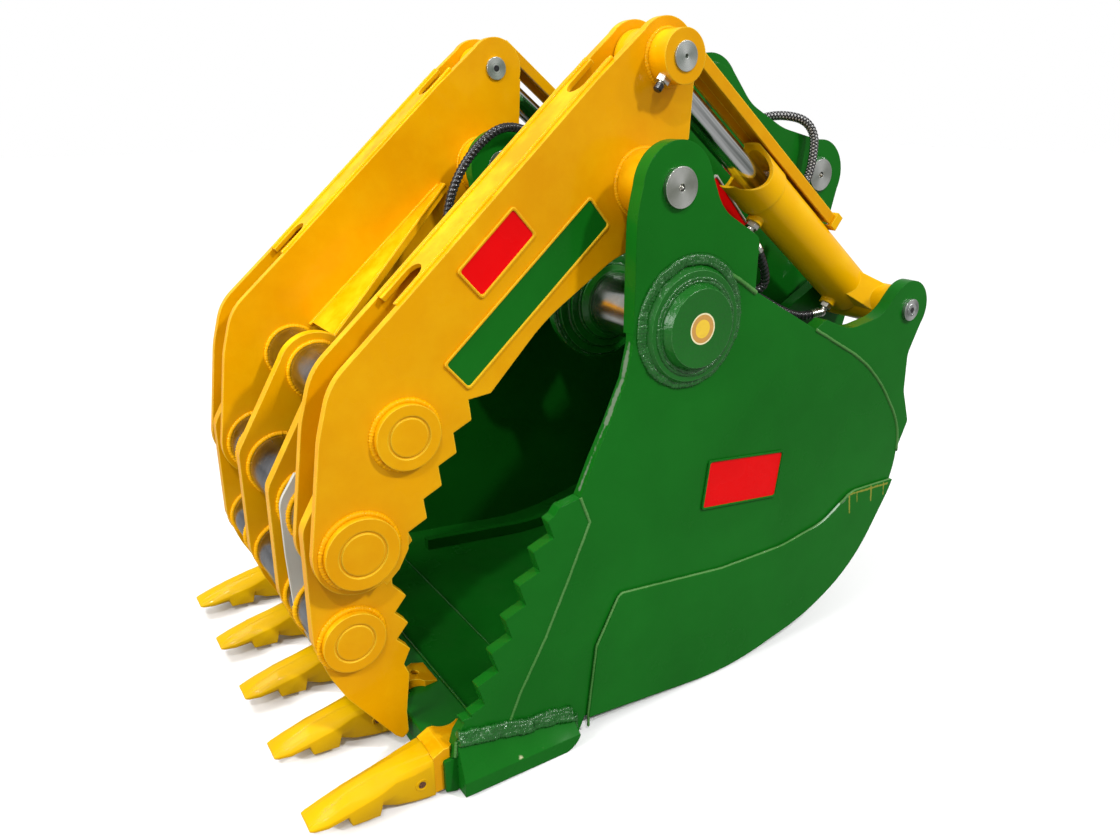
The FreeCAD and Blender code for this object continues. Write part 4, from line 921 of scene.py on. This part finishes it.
# Ferrules: the knee of each elbow, the direction of its tail and the body that carries it.
ferrules = {
    "start": 8, "end": 34, "farToo": 4,
    "list": [
        ((1762.7, -398.5, 975.2), (-0.92, 0.2, -0.1), "barrel"),
        ((1417.1, -398.5, 1244.2), (0.68, 0, -0.74), "barrel"),
        ((1312, -265, 1150), (0.77, -0.2, -0.6), "bucket"),
        ((1440, -265, 1085), (0.93, -0.15, -0.33), "bucket"),
        ((1735, -265, 1250), (0.35, -0.1, 0.93), "bucket"),
        ((1600, -165, 1385), (0.1, 0, 1), "bucket"),
        ((1110, 165, 1478), (-0.9, 0, 0.4), "bucket"),
        ((965, 165, 1190), (-0.95, 0, -0.3), "bucket"),
    ],
}
axes = {"barrel_near": [], "barrel_far": [], "bucket": []}
for count, (knee, tail, body) in enumerate(ferrules["list"]):
    along = Vector(tail).normalized() / 1000
    axis = [at(*knee) + along * ferrules["start"], at(*knee) + along * ferrules["end"]]
    axes["barrel_near" if body == "barrel" else body].append(axis)
    if count < ferrules["farToo"]:
        mirror = [Vector((p[0], -p[1], p[2])) for p in axis]
        axes["barrel_far" if body == "barrel" else body].append(mirror)
for body, lines in axes.items():
    ridges = applyTree(pathMesh("crimps_" + body, lines), crimpTree,
                       {"Radius": 0.0142, "Wire": 0.0013, "Count": 6,
                        "Material": steel["fittingSteel"]}, "crimps_" + body, body)

# Name, hose, base radius, rib height, starts and pitch.
guards = [
    ("hose_front_guard", "hose_front", 0.0121, 0.0018, 2, 0.026),
    ("hose_link_guard", "hose_link", 0.0109, 0.0024, 4, 0.04),
    ("hose_link_braid", "hose_link", 0.0109, 0.0024, 4, -0.04),
]
for hose in ("hose_rod_port", "hose_base_port"):
    for end in ("near", "far"):
        guards.append((hose + "_" + end + "_guard", hose + "_" + end, 0.0121, 0.0016, 2, 0.026))
for name, hose, radius, rib, starts, pitch in guards:
    bare = bpy.data.objects.new(name + "_route", hoseLine(name + "_route", routePoints[hose], 0))
    bpy.context.scene.collection.objects.link(bare)
    path = bpy.data.meshes.new_from_object(bare)
    bpy.data.objects.remove(bare)
    guard = applyTree(path, guardTree, {"Radius": radius, "Rib": rib, "Starts": float(starts),
                                        "Pitch": pitch, "Step": 0.0018, "Material": blackPlasticAndHoleShade},
                      name, "bucket")
print("ferrules are crimped and hoses guarded")


# Bare plates with a raised rim round a painted field. Each has its name, middle x and z, the y of
# the face it sits on, length, height, slope in degrees, field, rim and body.
plates = {
    "thickness": 6, "rim": 5, "field": 2.5, "corner": 8,
    "list": [
        ("armPlateRed", 579, 1275, armOuter, 194, 90, 42.0, "redPaint", "yellowPaint", "claw"),
        ("armPlateGreen", 660.5, 1178, armOuter, 517, 92, 41.0, "greenPaint", "yellowPaint", "claw"),
        ("sidePlateRed", 1261, 611, side, 290, 142, -7.0, "redPaint", "greenPaint", "bucket"),
        ("hangerPlateRed", 1483, 1277, -235, 230, 92, -46.5, "redPaint", "doublerPaint", "bucket"),
    ],
}


def barePlate(length, height, look):
    shape = bmesh.new()
    corners = []
    for sx, sz in ((1, 1), (-1, 1), (-1, -1), (1, -1)):
        for k in range(5):
            turn = math.atan2(sz, sx) - math.pi / 4 + k * math.pi / 8
            corners.append((sx * (length / 2 - look["corner"]) + look["corner"] * math.cos(turn),
                            sz * (height / 2 - look["corner"]) + look["corner"] * math.sin(turn)))
    levels = [(0, 0), (0, look["thickness"] - 1), (1, look["thickness"]),
              (look["rim"], look["thickness"]), (look["rim"] + 1, look["field"])]
    rings = []
    for pull, depth in levels:
        ring = []
        for x, z in corners:
            sx, sz = 1 - 2 * pull / length, 1 - 2 * pull / height
            ring.append(shape.verts.new((x * sx, -depth, z * sz)))
        rings.append(ring)
    for a, b in zip(rings, rings[1:]):
        for i in range(len(a)):
            shape.faces.new((a[i - 1], a[i], b[i], b[i - 1]))
    shape.faces.new(rings[0])
    shape.faces.new(rings[-1]).material_index = 1
    bmesh.ops.recalc_face_normals(shape, faces=shape.faces)
    return shape


for name, x, z, y, length, height, angle, field, rim, body in plates["list"]:
    shape = barePlate(length, height, plates)
    turn = Matrix.Rotation(-math.radians(angle), 4, "Y")
    for vert in shape.verts:
        swung = turn @ vert.co
        vert.co = at(x + swung[0], y + swung[1], z + swung[2])
    bmesh.ops.recalc_face_normals(shape, faces=shape.faces)
    mesh = bpy.data.meshes.new(name)
    shape.to_mesh(mesh)
    shape.free()
    obj = keep(mesh, name, body)
    mesh.materials.append(paint[rim])
    mesh.materials.append(paint[field])
print("bare plates are on")


# Cast teeth, lofted through sections from the tip backwards.
tooth = {
    "pitch": toothPitch, "count": 5, "rounding": 3.0,
    # x, ridge height and half width, shoulder half width and height, edge half width, top and
    # bottom, underside half width and height
    "sections": [
        (0, 62, 20, 27, 60, 33, 57, 53, 30, 52),
        (10, 68, 19, 29, 64, 37, 58, 51, 33, 49),
        (40, 82, 15, 31, 73, 43, 60, 50, 34, 44),
        (88, 98, 12, 32, 85, 45, 68, 58, 30, 42),
        (94, 100, 12, 32, 87, 46, 70, 30, 40, 28),
        (160, 114, 12, 34, 98, 47, 82, 24, 42, 23),
        (170, 116, 12, 34, 100, 47, 85, 62, 34, 40),
        (205, 119, 14, 36, 106, 45, 96, 64, 40, 26),
        (250, 122, 18, 42, 112, 49, 98, 30, 46, 18),
        (290, 124, 24, 46, 117, 51, 104, 20, 49, 13),
        (300, 124, 25, 46, 118, 51.5, 105, 18, 49, 12.5),
    ],
}


def toothRing(section):
    x, ridge, ridgeHalf, shoulderHalf, shoulder = section[:5]
    edgeHalf, edgeTop, edgeLow, underHalf, under = section[5:]
    half = [(0, ridge), (ridgeHalf, ridge - 1), (ridgeHalf + 3, ridge - 5), (shoulderHalf, shoulder),
            (edgeHalf, edgeTop), (edgeHalf, edgeLow), (underHalf, under), (underHalf * 0.5, under),
            (0, under + 1)]
    ring = half + [(-y, z) for y, z in half[-2:0:-1]]
    return [(x, y, z) for y, z in ring]


def castTooth():
    shape = bmesh.new()
    rings = [[shape.verts.new(point) for point in toothRing(section)]
             for section in tooth["sections"]]
    for a, b in zip(rings, rings[1:]):
        for i in range(len(a)):
            shape.faces.new((a[i - 1], a[i], b[i], b[i - 1]))
    shape.faces.new(rings[0])
    shape.faces.new(rings[-1])
    bmesh.ops.recalc_face_normals(shape, faces=shape.faces)
    mesh = bpy.data.meshes.new("tooth")
    shape.to_mesh(mesh)
    shape.free()
    return mesh


def teethMesh():
    source = bpy.data.objects.new("toothSource", castTooth())
    bpy.context.scene.collection.objects.link(source)
    soft = source.modifiers.new("soften", "BEVEL")
    soft.width = tooth["rounding"]
    soft.segments = 2
    soft.limit_method = "ANGLE"
    soft.angle_limit = math.radians(24)
    ready = source.evaluated_get(bpy.context.evaluated_depsgraph_get())
    one = bpy.data.meshes.new_from_object(ready)
    bpy.data.objects.remove(source)
    shape = bmesh.new()
    for i in range(tooth["count"]):
        across = (i - (tooth["count"] - 1) / 2) * tooth["pitch"]
        first = len(shape.verts)
        shape.from_mesh(one)
        shape.verts.ensure_lookup_table()
        for vert in shape.verts[first:]:
            vert.co = at(vert.co[0], vert.co[1] + across, vert.co[2])
    mesh = bpy.data.meshes.new("castTeeth")
    shape.to_mesh(mesh)
    shape.free()
    return mesh


castTeeth = keep(teethMesh(), "castTeeth", "bucket", paint["toothPaint"])
castTeeth.data.shade_smooth()
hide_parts("teeth")
print("teeth are cast")


# Camera, floor and lights, in metres. Floor and sky are seen paler than the light they give.
view = {
    "place": (-1.7339, -2.0927, -0.0253), "forward": (0.5195, 0.7794, -0.3498),
    "lens": 27.22, "sensor": 36, "ground": -1.605, "floorReach": 30,
    "floorLight": (0.3, 0.3, 0.3, 1), "floorSeen": (0.97, 0.97, 0.97, 1),
}
camera = bpy.data.cameras.new("camera")
camera.lens = view["lens"]
camera.sensor_width = view["sensor"]
cameraPlace = bpy.data.objects.new("camera", camera)
bpy.context.scene.collection.objects.link(cameraPlace)
cameraPlace.location = view["place"]
cameraPlace.rotation_euler = Vector(view["forward"]).to_track_quat("-Z", "Y").to_euler()
bpy.context.scene.camera = cameraPlace

floorMesh = bpy.data.meshes.new("floor")
reach = view["floorReach"]
floorMesh.from_pydata([(-reach, -reach, view["ground"]), (reach, -reach, view["ground"]),
                       (reach, reach, view["ground"]), (-reach, reach, view["ground"])],
                      [], [(0, 1, 2, 3)])
floor = bpy.data.objects.new("floor", floorMesh)
bpy.context.scene.collection.objects.link(floor)
paleFloor, floorTree, floorShader, _ = newMaterial("paleFloor")
seen = floorTree.nodes.new("ShaderNodeLightPath").outputs["Is Camera Ray"]
floorColour = blendColour(floorTree, seen, view["floorLight"], view["floorSeen"])
floorTree.links.new(floorColour, floorShader.inputs["Base Color"])
floorShader.inputs["Roughness"].default_value = 0.9
floorShader.inputs["Specular IOR Level"].default_value = 0.1
floorMesh.materials.append(paleFloor)


# Lamps have a name, place, size, watts and colour; suns a name, direction, strength and spread.
studio = {
    "middle": (-0.4, 0.0, -0.8),
    "lamps": [
        ("highlight", (-2.4, -3.6, 1.9), 0.35, 12, (1, 0.98, 0.95)),
        ("rim", (2.2, -2.6, 2.2), 0.4, 14, (1, 1, 1)),
        ("over", (-2.6, 0.5, 3.0), 2.2, 115, (1, 1, 1)),
        ("left", (-4.6, -0.6, 0.9), 2.2, 100, (1, 1, 1)),
    ],
    "suns": [("sun", (0.62, -1.15, 1.15), 1.75, 4), ("glint", (-0.3, -0.56, 0.8), 0.85, 2)],
    "sky": 0.52, "backdrop": 1.0,
}


def hang(name, light, away, place=(0, 0, 0)):
    obj = bpy.data.objects.new(name, light)
    bpy.context.scene.collection.objects.link(obj)
    obj.location = place
    obj.rotation_euler = away.to_track_quat("Z", "Y").to_euler()


for name, place, size, power, colour in studio["lamps"]:
    lamp = bpy.data.lights.new(name, "AREA")
    lamp.shape = "DISK"
    lamp.size = size
    lamp.energy = power
    lamp.color = colour
    hang(name, lamp, Vector(place) - Vector(studio["middle"]), place)
for name, source, energy, spread in studio["suns"]:
    sun = bpy.data.lights.new(name, "SUN")
    sun.energy = energy
    sun.angle = math.radians(spread)
    hang(name, sun, Vector(source))

world = bpy.data.worlds.new("studio")
world.use_nodes = True
sky = world.node_tree
glow = sky.nodes["Background"]
glow.inputs["Color"].default_value = (1, 1, 1, 1)
seen = sky.nodes.new("ShaderNodeLightPath").outputs["Is Camera Ray"]
strength = between(sky, seen, 0.0, 1.0, studio["sky"], studio["backdrop"])
sky.links.new(strength, glow.inputs["Strength"])
bpy.context.scene.world = world
bpy.context.scene.view_settings.view_transform = "Standard"
print("camera, floor and lights are set")
